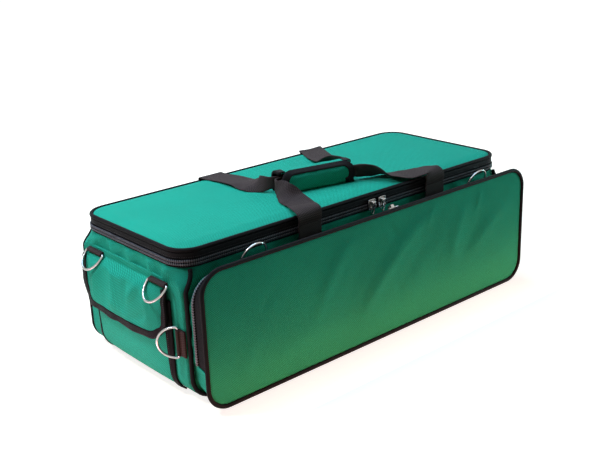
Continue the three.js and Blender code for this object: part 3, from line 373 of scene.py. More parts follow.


# Plain weave: threads that pass over and under each other, each a small round hump. The hump gives the
# relief, and it also paints light and shade into the colour: painted shade in the gaps between threads,
# painted light on the crests. The warp threads lie a little prouder than the weft and are painted lighter.
weave, weave_in, weave_out = new_mask("plain_weave", (
    ("Cloth map", "INPUT", "NodeSocketVector"), ("Threads per metre", "INPUT", "NodeSocketFloat"),
    ("Thread", "OUTPUT", "NodeSocketFloat"), ("Tint", "OUTPUT", "NodeSocketFloat")))
counted = add_node(weave, "VectorMath", {
    0: weave_in.outputs["Cloth map"], "Scale": weave_in.outputs["Threads per metre"]}, operation="SCALE")
split = add_node(weave, "SeparateXYZ", {0: counted.outputs[0]})
warp, weft = (calculate(weave, "SINE", calculate(weave, "MULTIPLY", split.outputs[axis], math.pi))
              for axis in (0, 1))
over = calculate(weave, "GREATER_THAN", calculate(weave, "MULTIPLY", warp, weft), 0.0)
hump = mix_values(weave, over, calculate(weave, "ABSOLUTE", weft), calculate(weave, "ABSOLUTE", warp))
# Painted shade in the gaps and on the weft, and painted light on the crests of the prouder warp.
painted_light_share = calculate(weave, "MULTIPLY", hump, mix_values(weave, over, 0.2, 1.0))
feed(weave, weave_out, {"Thread": hump, "Tint": painted_light_share})

# Handling marks: slow changes of tone over a piece, with finer ones among them
handled, handled_in, handled_out = new_mask("handling", (
    ("Place", "INPUT", "NodeSocketVector"), ("Patches per metre", "INPUT", "NodeSocketFloat"),
    ("Tone", "OUTPUT", "NodeSocketFloat")))
patches = add_node(handled, "TexNoise", {
    "Vector": handled_in.outputs["Place"], "Scale": handled_in.outputs["Patches per metre"],
    "Detail": 5, "Roughness": 0.6})
feed(handled, handled_out, {"Tone": patches.outputs[0]})


def new_material(name, patches_per_metre):
    """A material with its tree, its shader and the tone of its handling marks."""
    material = bpy.data.materials.new(name)
    material.use_nodes = True
    tree = material.node_tree
    places = add_node(tree, "TexCoord", {})
    marks = add_node(tree, "Group", {}, node_tree=handled)
    feed(tree, marks, {"Place": places.outputs["Object"], "Patches per metre": patches_per_metre})
    return material, tree, tree.nodes["Principled BSDF"], marks.outputs[0]


def raise_relief(tree, height, strength, deepest):
    """Relief from a height of 0 to 1, whose deepest place is given in metres."""
    return add_node(tree, "Bump", {
        "Height": height, "Strength": strength, "Distance": deepest}).outputs[0]


def woven_cloth(name, thread, painted_gap_shade, threads, relief, roughness, shine, sheen=0.0):
    """Cloth from its thread colour and the painted shade between threads, threads per metre, and the
    height of its weave.
    """
    material, tree, shader, marks = new_material(name, 9)
    cloth_map = add_node(tree, "UVMap", {})
    woven = add_node(tree, "Group", {}, node_tree=weave)
    feed(tree, woven, {"Cloth map": cloth_map.outputs[0], "Threads per metre": threads})
    # The second colour is painted shade in the gaps between threads, and the thread colour is painted
    # light on the crests.
    toned = add_node(tree, "HueSaturation", {
        "Color": mix_colours(tree, woven.outputs[1], painted_gap_shade, thread),
        "Value": spread(tree, marks, 0.86, 1.14)})
    feed(tree, shader, {
        "Base Color": toned.outputs[0],
        "Roughness": spread(tree, marks, roughness - 0.07, roughness + 0.07),
        "Normal": raise_relief(tree, woven.outputs[0], relief, 0.0005), "Sheen Weight": sheen,
        "Sheen Roughness": 0.4, "Specular IOR Level": shine})
    return material


# The second colour of each woven cloth, here and below, is the painted shade in the gaps between its
# threads.
green_nylon = woven_cloth("green_nylon", (0.045, 0.72, 0.44), (0.015, 0.25, 0.15), 640, 0.9, 0.62, 0.03)
tub_girth, tub_drop = 2 * (case_length + case_depth), 420
shell = cut_cloth("outer_cloth", 400, 60, outer_shell_place, tub_girth, tub_drop)
thicken(shell, shell_thickness)
sew_on(shell, "case", "green_nylon", green_nylon, "outer_shell")
padding = ["foam_wall_front", "foam_wall_back", "foam_end_left", "foam_end_right", "base_board"]

# Lining and padding. Sheets of grey foam stand between the outer cloth and a black brushed lining,
# over a board in the bottom. They are seen only with the lid open.
lining_cloth = woven_cloth(
    "brushed_lining", (0.02, 0.02, 0.022), (0.01, 0.01, 0.011), 900, 0.3, 0.85, 0.1, sheen=0.1)
lip_share, lip_rise, lip_inset, lip_width, lining_inset = 0.04, 1.4, 3.9, 10.3, 13.4


def lining_place(u, v):
    if v < lip_share:
        half_length, half_depth, radius = tub_level(rim_height, lip_inset + lip_width * v / lip_share)
        x, y, *_ = ring_place(u, half_length, half_depth, radius)
        return x, y, rim_height + lip_rise
    x, y, height, *_ = tub_place(u, (v - lip_share) / (1 - lip_share), lining_inset, rim_height)
    return x, y, min(height + 0.4, rim_height + lip_rise)


lining = cut_cloth("lining_cloth", 240, 60, lining_place, tub_girth, tub_drop)
thicken(lining, lining_thickness, (0, 0, 1))
sew_on(lining, "case", "lining_cloth", lining_cloth, "inner_lining")


def grained(name, colour, dark, grains_per_metre, relief, roughness):
    """A material with a fine irregular grain, such as foam or bare board."""
    material, tree, shader, marks = new_material(name, grains_per_metre)
    feed(tree, shader, {
        "Base Color": mix_colours(tree, marks, dark, colour), "Roughness": roughness,
        "Normal": raise_relief(tree, marks, relief, 0.0004)})
    return material


cell_foam = grained("cell_foam", (0.2, 0.2, 0.21), (0.1, 0.1, 0.11), 700, 0.6, 0.95)
bare_board = grained("bare_board", (0.42, 0.3, 0.19), (0.26, 0.18, 0.11), 160, 0.3, 0.8)
for node in (*padding, "lid_foam"):
    dress(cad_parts[node], bare_board if node == "base_board" else cell_foam)

# Pipings round the front and back faces. Each is a cord in a folded black tape, sewn into the seam,
# and ends under the zip tape at both top corners.


def distances_along(points):
    """How far each point is from the first, along the line that they make."""
    lengths = [0.0]
    for a, b in zip(points, points[1:]):
        lengths.append(lengths[-1] + (Vector(b) - Vector(a)).length)
    return lengths


def draw_along(name, stations, section, closed=False):
    """A section carried along stations, each with its middle and the two half axes of the section."""
    middle, across, out = stations[len(stations) // 2]
    section = section + section[:1]
    girth = distances_along([across * a + out * b for a, b in section])
    if closed:
        stations = stations + stations[:1]

    def place(column, row):
        (middle, across, out), (a, b) = stations[column], section[row]
        return middle + across * a + out * b

    piece = cut_grid(name, distances_along([station[0] for station in stations]), girth, place)
    close_up(piece, fill=not closed)
    return piece


def circle(sides):
    return [(math.cos(math.tau * k / sides), math.sin(math.tau * k / sides)) for k in range(sides)]


round_section = circle(12)
flat_face = (-0.9, -0.5, 0, 0.5, 0.9)
tape_section = [(-1, -0.7), *((x, -1) for x in flat_face), (1, -0.7),
                (1, 0.7), *((-x, 1) for x in flat_face), (-1, 0.7)]


def cord_stations(points, normal, radius, closed=False):
    """Stations of a round cord whose middle line lies in or near the plane with this normal."""
    normal = Vector(normal)
    stations = []
    for index, middle in enumerate(points):
        before = points[index - 1] if closed or index else middle
        after = points[(index + 1) % len(points)] if closed or index < len(points) - 1 else middle
        run = (after - before).normalized()
        outward = run.cross(normal).normalized()
        stations.append((middle, outward * radius, outward.cross(run) * radius))
    return stations


def arc_points(centre, radius, start, sweep, steps):
    """Points of an arc in the plane of the first two numbers."""
    angles = [math.radians(start + sweep * step / steps) for step in range(steps + 1)]
    return [(centre[0] + radius * math.cos(a), centre[1] + radius * math.sin(a)) for a in angles]


def between(first, last, steps):
    """Points on a line, without its two ends."""
    return [tuple(a + (b - a) * step / steps for a, b in zip(first, last)) for step in range(1, steps)]


def both_sides(right_side, steps):
    """A line down the mirror image of the right side, across the foot, and up the right side."""
    mirrored = [(-point[0], *point[1:]) for point in reversed(right_side)]
    return mirrored + between(mirrored[-1], right_side[0], steps) + right_side


black_binding = woven_cloth(
    "black_binding", (0.008, 0.0066, 0.0068), (0.0026, 0.0022, 0.0024), 1100, 0.4, 0.52, 0.06)
piping_radius, piping_out = 3.45, 147.3
piping_run, piping_bend, piping_top, piping_blend, piping_off = 330, 36.5, 178.3, 32.8, 4.5


def piping_at_rim(height):
    """The piping leans in over the corner as the corner opens out to the lid's."""
    share, radius = corner_at(height)
    reach, turn = radius + piping_off, math.radians(76 - 16 * share)
    inward = rim_draw * share + radius
    return (case_length / 2 - inward + reach * math.cos(turn),
            case_depth / 2 - inward + reach * math.sin(turn), height)


upright = [piping_at_rim(piping_top + piping_blend * step / 16) for step in range(17)]
low = arc_points((piping_run, bottom_radius), piping_bend, -90, 90, 14)
low = [(x, piping_out, z) for x, z in low]
outline = both_sides(low + between(low[-1], upright[0], 12) + upright, 60)
for name, side, node in (("front_piping", -1, "front_rim_piping"), ("back_piping", 1, "back_rim_piping")):
    line = [Vector((x, side * out, z)) for x, out, z in outline]
    piping = draw_along(name, cord_stations(line, (0, 1, 0), piping_radius), round_section)
    sew_on(piping, "case", "black_nylon", black_binding, node)

# Main zip. Two black tapes run all round the tub and the lid, and each carries a row of nylon coil
# along the front and the ends. At the back a strip of cloth joins them and is the hinge.
ribbed_tape = woven_cloth("zip_tape", (0.008, 0.0075, 0.008), (0.003, 0.003, 0.0033), 1500, 0.5, 0.7, 0.07)


def moulded_coil(name, dark, crest_highlight, pitch):
    """Nylon coil with painted shade in the gaps between its turns, and a painted highlight on its crests
    that varies along the row.
    """
    material, tree, shader, marks = new_material(name, 60)
    along = add_node(tree, "SeparateXYZ", {0: add_node(tree, "UVMap", {}).outputs[0]})
    turns = calculate(tree, "MULTIPLY", along.outputs[0], math.tau / (pitch * MM))
    wave = calculate(tree, "COSINE", turns)
    # Painted highlight on each crest and painted shade between turns, uneven with the handling marks.
    crest = calculate(tree, "MULTIPLY", calculate(tree, "MULTIPLY_ADD", wave, 0.5), marks)
    feed(tree, shader, {
        "Base Color": mix_colours(tree, crest, dark, crest_highlight), "Roughness": 0.34, "Specular IOR Level": 0.3})
    return material


coil_turn, coil_out, coil_side = 3.4, 1.45, 2.35
pocket_coil_turn, pocket_coil_out, pocket_coil_side = 4.2, 1.6, 1.7
lid_outline = (case_length / 2, case_depth / 2, 40)
# Each coil's second colour is the painted highlight on its crests. Both coils are black nylon, and the
# pocket's gets the brighter painted highlight.
black_coil = moulded_coil("black_coil", (0.004, 0.004, 0.005), (0.20, 0.20, 0.22), coil_turn)
highlit_pocket_coil = moulded_coil("highlit_pocket_coil", (0.005, 0.005, 0.006), (0.42, 0.43, 0.46), pocket_coil_turn)


def lid_place(u, inset, height):
    """A place on the lid's outline, drawn in by an inset, and the way outwards there."""
    x, y, out_x, out_y = ring_place(u, *(size - inset for size in lid_outline))
    return Vector((x, y, height)), Vector((out_x, out_y, 0))


def band_round_the_rim(name, inset, thickness, low_edge, high_edge, rim_steps=200):
    stations = []
    for step in range(rim_steps):
        middle, out = lid_place(step / rim_steps, inset + thickness / 2, (low_edge + high_edge) / 2)
        stations.append((middle, Vector((0, 0, (high_edge - low_edge) / 2)), out * thickness / 2))
    return draw_along(name, stations, tape_section, closed=True)


def line_length(line):
    return distances_along([point for point, normal in line])[-1]


def walk(line, shares):
    """Place, normal and heading at shares of the way along a line of places and normals."""
    lengths = distances_along([point for point, normal in line])
    index = 0
    for share in shares:
        want = lengths[-1] * share
        while index < len(line) - 2 and lengths[index + 1] < want:
            index += 1
        (a, a_normal), (b, b_normal) = line[index:index + 2]
        part = (want - lengths[index]) / (lengths[index + 1] - lengths[index])
        yield a.lerp(b, part), a_normal.lerp(b_normal, part), (b - a).normalized()


def coil_along(name, line, out_half, side_half, turn):
    """A row of coil: a flattened cord whose thickness rises and falls once a turn."""
    count = int(line_length(line) / turn) * 4
    stations = []
    for step, (middle, normal, heading) in enumerate(walk(line, [k / count for k in range(count + 1)])):
        out = normal.normalized()
        girth = (1, 0.75, 0.36, 0.75)[step % 4]
        aside = heading.cross(out) * side_half * (0.4 + 0.6 * girth)
        stations.append((middle, aside, out * out_half * girth))
    return draw_along(name, stations, circle(6))


for name, low_edge, high_edge, body, node in (("tub_zip_tape", 212.6, 219.7, "case", "body_zip_tape"),
                                              ("lid_zip_tape", 220.0, 226.0, "lid", "lid_zip_tape")):
    tape = band_round_the_rim(name, 2, 1.6, low_edge, high_edge)
    sew_on(tape, body, "black_nylon", ribbed_tape, node)

hinge_width, hinge_height, hinge_foot, hinge_y = 660, 7.4, 216.2, 142.0


def hinge_cloth_place(u, v):
    return hinge_width * (u - 0.5), hinge_y + 0.8 * math.sin(math.pi * v), hinge_foot + hinge_height * v


hinge_cloth = cut_cloth("hinge_cloth", 60, 16, hinge_cloth_place, hinge_width, 8)
thicken(hinge_cloth, thin_cloth, (0, 1, 0))
sew_on(hinge_cloth, None, "black_nylon", ribbed_tape, "body_zip_tape")
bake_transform(hinge_cloth)
coil_from, coil_steps = back_share + 0.001, 300
for name, height, body, node in (("tub_coil", 217.45, "case", "body_zip_coil"),
                                 ("lid_coil", 222.4, "lid", "lid_zip_coil")):
    shares = [coil_from + (1 - 2 * coil_from) * step / coil_steps for step in range(coil_steps + 1)]
    line = [lid_place(share, 0.5, height) for share in shares]
    coil = coil_along(name, line, coil_out, coil_side, coil_turn)
    sew_on(coil, body, "coil", black_coil, node)

# Lid. A black band stands above the zip, a fat piping finishes its top edge, and the green top is
# drawn over foam, so that it swells to a soft ridge just inside the piping.
band_low, band_high, top_piping_height, top_radius = 226.3, 235.1, 238.7, 3.3
band = band_round_the_rim("lid_side_band", 1.5, 2, band_low, band_high)
sew_on(band, "lid", "black_nylon", black_binding, "lid_band")
thread = moulded_coil("sewing_thread", (0.006, 0.006, 0.0065), (0.09, 0.085, 0.088), 400)
stitch_pitch, stitch_long, stitch_wide, stitch_high = 3.4, 1.2, 0.34, 0.26
pick()
bpy.ops.mesh.primitive_uv_sphere_add(segments=6, ring_count=4, radius=1)
bead = bpy.context.object
bead_places = [vertex.co.copy() for vertex in bead.data.vertices]
bead_faces = [tuple(face.vertices) for face in bead.data.polygons]
bpy.ops.object.delete()


def stitch_row(name, body, node, line):
    """A row of stitches, each a small bead of thread, along a line of places and normals."""
    count = int(line_length(line) / stitch_pitch)
    places, faces = [], []
    for centre, normal, heading in walk(line, [(stitch + 0.5) / count for stitch in range(count)]):
        out = (normal - heading * normal.dot(heading)).normalized()
        axes = heading * stitch_long, out.cross(heading) * stitch_wide, out * stitch_high
        faces += [tuple(len(places) + corner for corner in face) for face in bead_faces]
        places += [(centre + axes[0] * x + axes[1] * y + axes[2] * z) * MM for x, y, z in bead_places]
    pick()
    bpy.ops.object.add(type="MESH")
    stitches = bpy.context.object
    stitches.name = stitches.data.name = name
    stitches.data.from_pydata(places, [], faces)
    sew_on(stitches, body, "black_nylon", thread, node)


band_seam = [lid_place(step / 200, 1.45, band_low + 1.5) for step in range(201)]
stitch_row("lid_band_stitches", "lid", "lid_band", band_seam)
top_edge = [lid_place(step / 260, top_radius + 0.1, top_piping_height) for step in range(260)]
top_edge = [(middle, out * top_radius, Vector((0, 0, top_radius))) for middle, out in top_edge]
lid_piping = draw_along("lid_edge_piping", top_edge, round_section, closed=True)
sew_on(lid_piping, "lid", "black_nylon", black_binding, "lid_piping")

lid_top_height, lid_lining_height, edge_curl = 236.8, 224.7, 3.4
edge_steps = (0, 0.15, 0.7, 1.8, 3.4, 5.6, 8.5, 12, 16, 21, 27, 34, 42, 51, 61, 72)


def panel_stations(half_width, step):
    """Places across a padded panel, close together near its edges."""
    flat = half_width - edge_steps[-1]
    count = round(2 * flat / step)
    side = [half_width - distance for distance in edge_steps]
    middle = [2 * flat * k / count - flat for k in range(1, count)]
    return [-place for place in side] + middle + side[::-1]


def round_off(x, y, half_x, half_y, radius):
    """Moves a place of a square grid so that each square in it gets round corners."""
    inset = min(half_x - abs(x), half_y - abs(y))
    turn = max(radius - inset, 0)
    centre_x, centre_y = half_x - inset - turn, half_y - inset - turn
    past_x, past_y = abs(x) - centre_x, abs(y) - centre_y
    if turn > 0 and past_x > 0 and past_y > 0:
        angle = math.radians(45 * past_y / turn if past_x >= past_y else 90 - 45 * past_x / turn)
        x = math.copysign(centre_x + turn * math.cos(angle), x)
        y = math.copysign(centre_y + turn * math.sin(angle), y)
    return x, y, inset


def padded_panel(name, outline, inset, place, step=5.0):
    """A panel drawn in from an outline, which has a half length, half width and corner radius."""
    half_x, half_y, radius = (size - inset for size in outline)
    xs, ys = panel_stations(half_x, step), panel_stations(half_y, step)
    return cut_grid(name, xs, ys, lambda column, row: place(
        *round_off(xs[column], ys[row], half_x, half_y, radius)))


def swell_over_edge(inset, wall, rise, reach):
    """The wall at the edge of a padded panel, and its swell over the foam inside."""
    curl = wall * (1 - max(1 - inset / edge_curl, 0) ** 2.4)
    return curl + rise * (1 - (1 - min(inset / reach, 1)) ** 2)


def lid_top_place(x, y, inset):
    height = lid_top_height + swell_over_edge(inset, 3.6, 4.4, 64)
    height += 1.5 * math.exp(-((inset - 20) / 9) ** 2)
    height += 0.5 * noise.noise(Vector((x, y, 0)) * 0.012) * smooth_step(inset, 6, 60)
    return x, y, height


cloth_inset, coarse_step = 5.8, 12.0
lid_top = padded_panel("lid_top_cloth", lid_outline, cloth_inset, lid_top_place)
thicken(lid_top, panel_thickness, (0, 0, 1))
sew_on(lid_top, "lid", "green_nylon", green_nylon, "lid_panel")


def lid_lining_place(x, y, inset):
    return x, y, lid_lining_height + 0.5 * smooth_step(inset, 0, 20)


lid_lining = padded_panel("lid_lining_cloth", lid_outline, 4, lid_lining_place, coarse_step)
thicken(lid_lining, thin_cloth, (0, 0, -1))
sew_on(lid_lining, "lid", "lining_cloth", lining_cloth, "lid_lining")

# Front pocket. A green gusset widens from its seam on the tub to the front panel, with a zip across
# the top and down both ends to about a third of the height. The panel is padded and piped all round.
seam_out, tape_out, edge_out, top_strip = 0.3, 7.5, 45.8, 12.8
pocket_knots = ((seam_out, 359.5, 180, 8), (tape_out, 362, 195.5, 7), (edge_out, 369.5, 220, 2.5))


def pocket_outline(out):
    """Half length, top and bottom of the gusset at a distance out from the tub."""
    near, far = pocket_knots[:2] if out <= tape_out else pocket_knots[1:]
    share = (out - near[0]) / (far[0] - near[0])
    return [near[k] + (far[k] - near[k]) * share for k in (1, 2, 3)]


pocket_corner, quarter_turn, zip_foot, plain_top = 40, 62.8, 68, 65


def round_pocket(share, out, over=True):
    """A place on the gusset and the way outwards there: from the left end over the top, or under."""
    half, top, bottom = pocket_outline(out)
    flat = half - pocket_corner
    foot, level, way = zip_foot, top - pocket_corner, 1
    if not over:
        foot, level, way = plain_top, bottom + pocket_corner, -1
    side = way * (level - foot)
    whole = side + quarter_turn + flat
    stretch, mirrored = share * 2 * whole, 1
    if stretch > whole:
        stretch, mirrored = 2 * whole - stretch, -1
    if stretch < side:
        x, z, out_x, out_z = -half, foot + way * stretch, -1, 0
    elif stretch < side + quarter_turn:
        angle = (stretch - side) / quarter_turn * math.pi / 2
        out_x, out_z = -math.cos(angle), way * math.sin(angle)
        x, z = pocket_corner * out_x - flat, level + pocket_corner * out_z
    else:
        x, z, out_x, out_z = stretch - whole, level + way * pocket_corner, 0, way
    return Vector((mirrored * x, front_y - out, z)), Vector((mirrored * out_x, 0, out_z))


def gather(point, size):
    """Small puckers where cloth is eased into a seam."""
    return size * noise.noise(Vector((point.x * 0.055, point.y * 0.02, point.z * 0.055)))


def gusset_top_place(u, v):
    reach = seam_out + top_strip * v
    point, out = round_pocket(u, reach)
    corner = smooth_step(abs(point.x), 300, 345)
    pucker = (0.8 + 1.6 * corner + gather(point, 3.4 + 3 * corner)) * math.sin(math.pi * min(v * 1.6, 1))
    return point + out * (pucker - 0.3 + 1.8 * smooth_step(reach, 4, 8))


def gusset_bottom_place(u, v):
    point, out = round_pocket(u, seam_out + (edge_out - seam_out) * v, over=False)
    ends = smooth_step(abs(point.x), 300, 350)
    sag = math.sin(math.pi * v) * (1.8 + gather(point, 4.0)) * ends
    return point - out * (sag + 0.2)


gusset = cut_cloth("pocket_gusset_top", 300, 10, gusset_top_place, 1040, 20)
thicken(gusset, panel_thickness, (0, 0, 1))
lower_gusset = cut_cloth("pocket_gusset_low", 300, 14, gusset_bottom_place, 860, 46)
thicken(lower_gusset, panel_thickness, (0, 0, -1))
pick(gusset, lower_gusset)
bpy.ops.object.join()
gusset.name = "pocket_gusset_cloth"
sew_on(gusset, "case", "green_nylon", green_nylon, "pocket_gusset")

tape_half, tape_steps = 0.8, 220
for name, near, far, body, node in (
        ("pocket_tape", tape_out, 17.05, "case", "pocket_zip_tape"),
        ("panel_tape", 17.35, edge_out, "pocket_panel", "pocket_panel_zip_tape")):
    stations = []
    for step in range(tape_steps + 1):
        (first, out), (last, _) = (round_pocket(step / tape_steps, edge) for edge in (near, far))
        stations.append(((first + last) / 2 - out * tape_half, (last - first) / 2, out * tape_half))
    sew_on(draw_along(name, stations, tape_section), body, "black_nylon", ribbed_tape, node)
for name, reach, body, node in (("pocket_coil", 15.45, "case", "pocket_zip_coil"),
                                ("panel_coil", 18.95, "pocket_panel", "pocket_panel_zip_coil")):
    line = [round_pocket(step / coil_steps, reach) for step in range(coil_steps + 1)]
    line = [(point + out * pocket_coil_out, out) for point, out in line]
    coil = coil_along(name, line, pocket_coil_out, pocket_coil_side, pocket_coil_turn)
    sew_on(coil, body, "coil", highlit_pocket_coil, node)

panel_outline, panel_middle = (374.5, 113, 40), 113
panel_out, panel_front, panel_back = 50.5, 48.2, 46.3
half, half_height, radius = (size - 3.5 for size in panel_outline)
flat, low, high = half - radius, panel_middle - half_height, panel_middle + half_height
right_side = arc_points((flat, low + radius), radius, -90, 90, 14)
right_side += between((half, low + radius), (half, high - radius), 16)
right_side += arc_points((flat, high - radius), radius, 0, 90, 14)
outline = both_sides(right_side, 70) + between((flat, high), (-flat, high), 70)
outline = [Vector((x, front_y - panel_out, z)) for x, z in outline]
edge = cord_stations(outline, (0, 1, 0), piping_radius, closed=True)
piping = draw_along("panel_piping", edge, round_section, closed=True)
sew_on(piping, "pocket_panel", "black_nylon", black_binding, "pocket_panel_piping")

panel_folds = ((14, 138, 40, 102, 16, 5.6), (-123, 152, 53, 67, 14, 3.6), (178, 141, 67, 52, 14, 3.0),
               (270, 136, 33, 56, 14, 3.2), (72, 122, 42, 92, 16, -1.9), (-62, 140, 48, 76, 16, -1.4),
               (222, 128, 50, 60, 14, -1.5), (13, 191, 126, 18, 5, -2.0), (-253, 150, 39, 20, 5, -1.8),
               (-181, 196, 133, 14, 5, -1.6), (110, 196, 58, 20, 6, 2.2), (240, 194, 70, 18, 6, 2.0),
               (-300, 60, 70, 40, 14, 1.8), (-210, 60, 20, 70, 16, 1.5))


def panel_front_place(x, z, inset):
    out = panel_front + swell_over_edge(inset, 2.6, 2.6, 60)
    slow = noise.noise(Vector((x, 0, z)) * 0.013)
    quick = noise.noise(Vector((x, 9, z)) * 0.05)
    folds = creases(x, z + panel_middle, panel_folds)
    out += (folds + 0.9 * slow + 0.3 * quick) * smooth_step(inset, 4, 34)
    return x, front_y - out, z + panel_middle


panel = padded_panel("pocket_front_cloth", panel_outline, cloth_inset, panel_front_place)
thicken(panel, panel_thickness, (0, -1, 0))
sew_on(panel, "pocket_panel", "green_nylon", green_nylon, "pocket_panel")


def panel_back_place(x, z, inset):
    return x, front_y - panel_back, z + panel_middle


back_cloth = padded_panel("pocket_panel_lining", panel_outline, 7.9, panel_back_place, coarse_step)
thicken(back_cloth, thin_cloth, (0, 1, 0))
sew_on(back_cloth, "pocket_panel", "lining_cloth", lining_cloth, "pocket_panel")

# Pouch on the left end. A swelling green pocket, bound down both sides in black tape, with a strip of
# hook-and-loop tape near its mouth.
pouch_half, pouch_low, pouch_high, pouch_brow, pouch_swell = 112, 8, 158, 110, 17
pouch_thickness, patch_thickness, flap_thickness = 1.6, 1.0, 2.2
cloth_half, binding_inner, binding_outer = 105, 101.8, 111.6


def end_place(y, height, out):
    """A place on the left end, lifted out from the tub."""
    drop = max(bottom_radius - height, 0)
    bend = math.sqrt(bottom_radius ** 2 - drop ** 2)
    reach = 1 + out / bottom_radius
    x = bottom_radius - case_length / 2 - bend * reach
    return Vector((x, y, max(height, bottom_radius) - drop * reach))


def pouch_out(y, height):
    """How far the pouch swells from the end."""
    across = 1 - min(abs(y) / pouch_half, 1) ** 4
    rise = min(max((height - pouch_low) / (pouch_brow - pouch_low), 0), 1)
    over = max((height - pouch_brow) / (pouch_high - pouch_brow), 0)
    return 0.3 + pouch_swell * across * (math.sin(rise * math.pi / 2) - 0.28 * over ** 2)


pouch_folds = ((-60, 52, 30, 55, 12, 1.1), (10, 44, 165, 60, 11, 1.0), (60, 60, 140, 50, 12, 0.9),
               (-88, 88, 80, 40, 7, 0.9), (90, 96, 100, 40, 7, 0.8), (-20, 74, 20, 60, 10, -0.8))


def pouch_place(u, v):
    y, height = cloth_half * (2 * u - 1), pouch_low + (pouch_high - pouch_low) * v
    swell = creases(y, height, pouch_folds) * smooth_step(cloth_half - abs(y), 0, 16)
    swell *= smooth_step(height, pouch_low, 30)
    swell *= 1 - 0.9 * smooth_step(height, 96, 104)
    return end_place(y, height, pouch_out(y, height) + 2 + swell)


pouch = cut_cloth("pouch_cloth", 70, 60, pouch_place, 210, 150)
thicken(pouch, pouch_thickness, (-1, 0, 0))
sew_on(pouch, "case", "green_nylon", green_nylon, "end_pouch")

binding_steps = 48
for name, side, node in (("pouch_tape_front", -1, "pouch_binding_front"),
                         ("pouch_tape_back", 1, "pouch_binding_back")):
    stations = []
    for step in range(binding_steps + 1):
        height = pouch_low + (pouch_high - pouch_low) * step / binding_steps
        inner = end_place(side * binding_inner, height, pouch_out(side * binding_inner, height) + 2.3)
        outer = end_place(side * binding_outer, height, 1.9)
        across = (outer - inner) / 2
        up = end_place(0, min(height + 1, pouch_high + 1), 0) - end_place(0, height - 1, 0)
        out = across.cross(up).normalized()
        stations.append(((inner + outer) / 2, across, out * (-1.5 if out.x > 0 else 1.5)))
    tape = draw_along(name, stations, tape_section)
    sew_on(tape, "case", "black_nylon", black_binding, node)
    line = [(middle + out * 1.02 - across * 0.5, out) for middle, across, out in stations]
    stitch_row(name + "_stitches", "case", node, line)

patch_length, patch_width, patch_foot = 110, 25, 109.5
hooks = grained("hook_and_loop", (0.02, 0.02, 0.022), (0.006, 0.006, 0.007), 1400, 0.9, 0.95)
for name, lift, body, node in (("pouch_loop_tape", 2.3, "case", "pouch_loop_patch"),
                               ("flap_hook_tape", 3.8, "end_flap", "flap_hook_patch")):
    def patch_place(u, v, lift=lift):
        y, height = patch_length * (u - 0.5), patch_foot + patch_width * v
        return end_place(y, height, pouch_out(y, height) + lift + 1.1)

    patch = cut_cloth(name, 30, 6, patch_place, patch_length, patch_width)
    thicken(patch, patch_thickness, (-1, 0, 0))
    sew_on(patch, body, "black_nylon", hooks, node)

# Flap of the pouch. Padded green cloth sewn to the end along its top edge, hanging over the pouch's
# mouth, with wide black binding round its lower edge and two ring loops at the top.
flap_low, flap_back, flap_front, flap_seam = 94, 126, -110, 193
flap_middle, flap_half = (flap_back + flap_front) / 2, (flap_back - flap_front) / 2
flap_corner, flap_inset, rim_inset, rim_top = 36, 7, 5.2, 176
flap_gap, back_lift, shoulder, shoulder_fall, seam_lift = 8.3, 7, 159, 22, 4.2


def flap_out(y, height):
    """How far the flap stands from the end: over the pouch, and rounded down to its seam."""
    full = pouch_out(y, height) + flap_gap + back_lift * smooth_step(y, 55, flap_back)
    above = min(max((height - shoulder) / shoulder_fall, 0), 1)
    return seam_lift + (full - seam_lift) * math.sqrt(max(1 - above ** 2, 0))


flap_folds = ((19, 146, 78, 40, 9, 3.9), (-12, 140, 96, 36, 9, -2.7), (-40, 164, 120, 30, 9, 3.9),
              (-70, 150, 74, 34, 9, 3.0), (76, 144, 98, 40, 9, 3.3), (48, 138, 82, 34, 9, -2.4),
              (2, 116, 24, 40, 9, 2.4), (-52, 120, 150, 30, 8, -2.1), (88, 162, 64, 24, 8, 2.4),
              (30, 172, 8, 34, 6, 2.1), (-16, 171, 176, 30, 6, 1.8))


def flap_place(u, v):
    half, radius = flap_half - flap_inset, flap_corner - flap_inset
    y = flap_middle + half * math.sin((u - 0.5) * math.pi)
    past = max(abs(y - flap_middle) - half + radius, 0)
    low = flap_low + flap_corner - math.sqrt(max(radius ** 2 - past ** 2, 0))
    height = low + (flap_seam - low) * v
    calm = smooth_step(half - abs(y - flap_middle), -2, 14) * smooth_step(flap_seam - height, 9, 24)
    swell = creases(y, height, flap_folds) * calm * smooth_step(height - low, 0, 14)
    return end_place(y, height, flap_out(y, height) + max(swell, -1.8))


flap = cut_cloth("flap_cloth", 84, 60, flap_place, 202, 110)
thicken(flap, flap_thickness, (-1, 0, 0))
sew_on(flap, "end_flap", "green_nylon", green_nylon, "end_flap")

half, low, radius = flap_half - rim_inset, flap_low + rim_inset, flap_corner - rim_inset
front_side = arc_points((half - radius, low + radius), radius, -90, 90, 14)
front_side += between((half, low + radius), (half, rim_top), 12) + [(half, rim_top)]
rim = both_sides(front_side, 50)
flat_rim = [end_place(across + flap_middle, height, 0) for across, height in rim]
stations, out = [], Vector((-1, 0, 0))
for index, (across, height) in enumerate(rim):
    run = (flat_rim[min(index + 1, len(rim) - 1)] - flat_rim[max(index - 1, 0)]).normalized()
    aside = out.cross(run).normalized()
    ruck = noise.noise(Vector((across, height, 5)) * 0.035)
    lift = 1.4 * noise.noise(Vector((across, height, 0)) * 0.045) - 1.1
    y = across + flap_middle
    middle = end_place(y, height, flap_out(y, height) + lift) + aside * 1.6 * ruck
    stations.append((middle, aside * (6.2 + 0.9 * ruck), out * (2.4 + 0.5 * ruck)))
binding = draw_along("flap_edge_binding", stations, tape_section)
sew_on(binding, "end_flap", "black_nylon", black_binding, "end_flap_binding")
line = [(middle + across * 0.72 + out * 1.02, out) for middle, across, out in stations]
stitch_row("flap_stitches", "end_flap", "end_flap_binding", line)

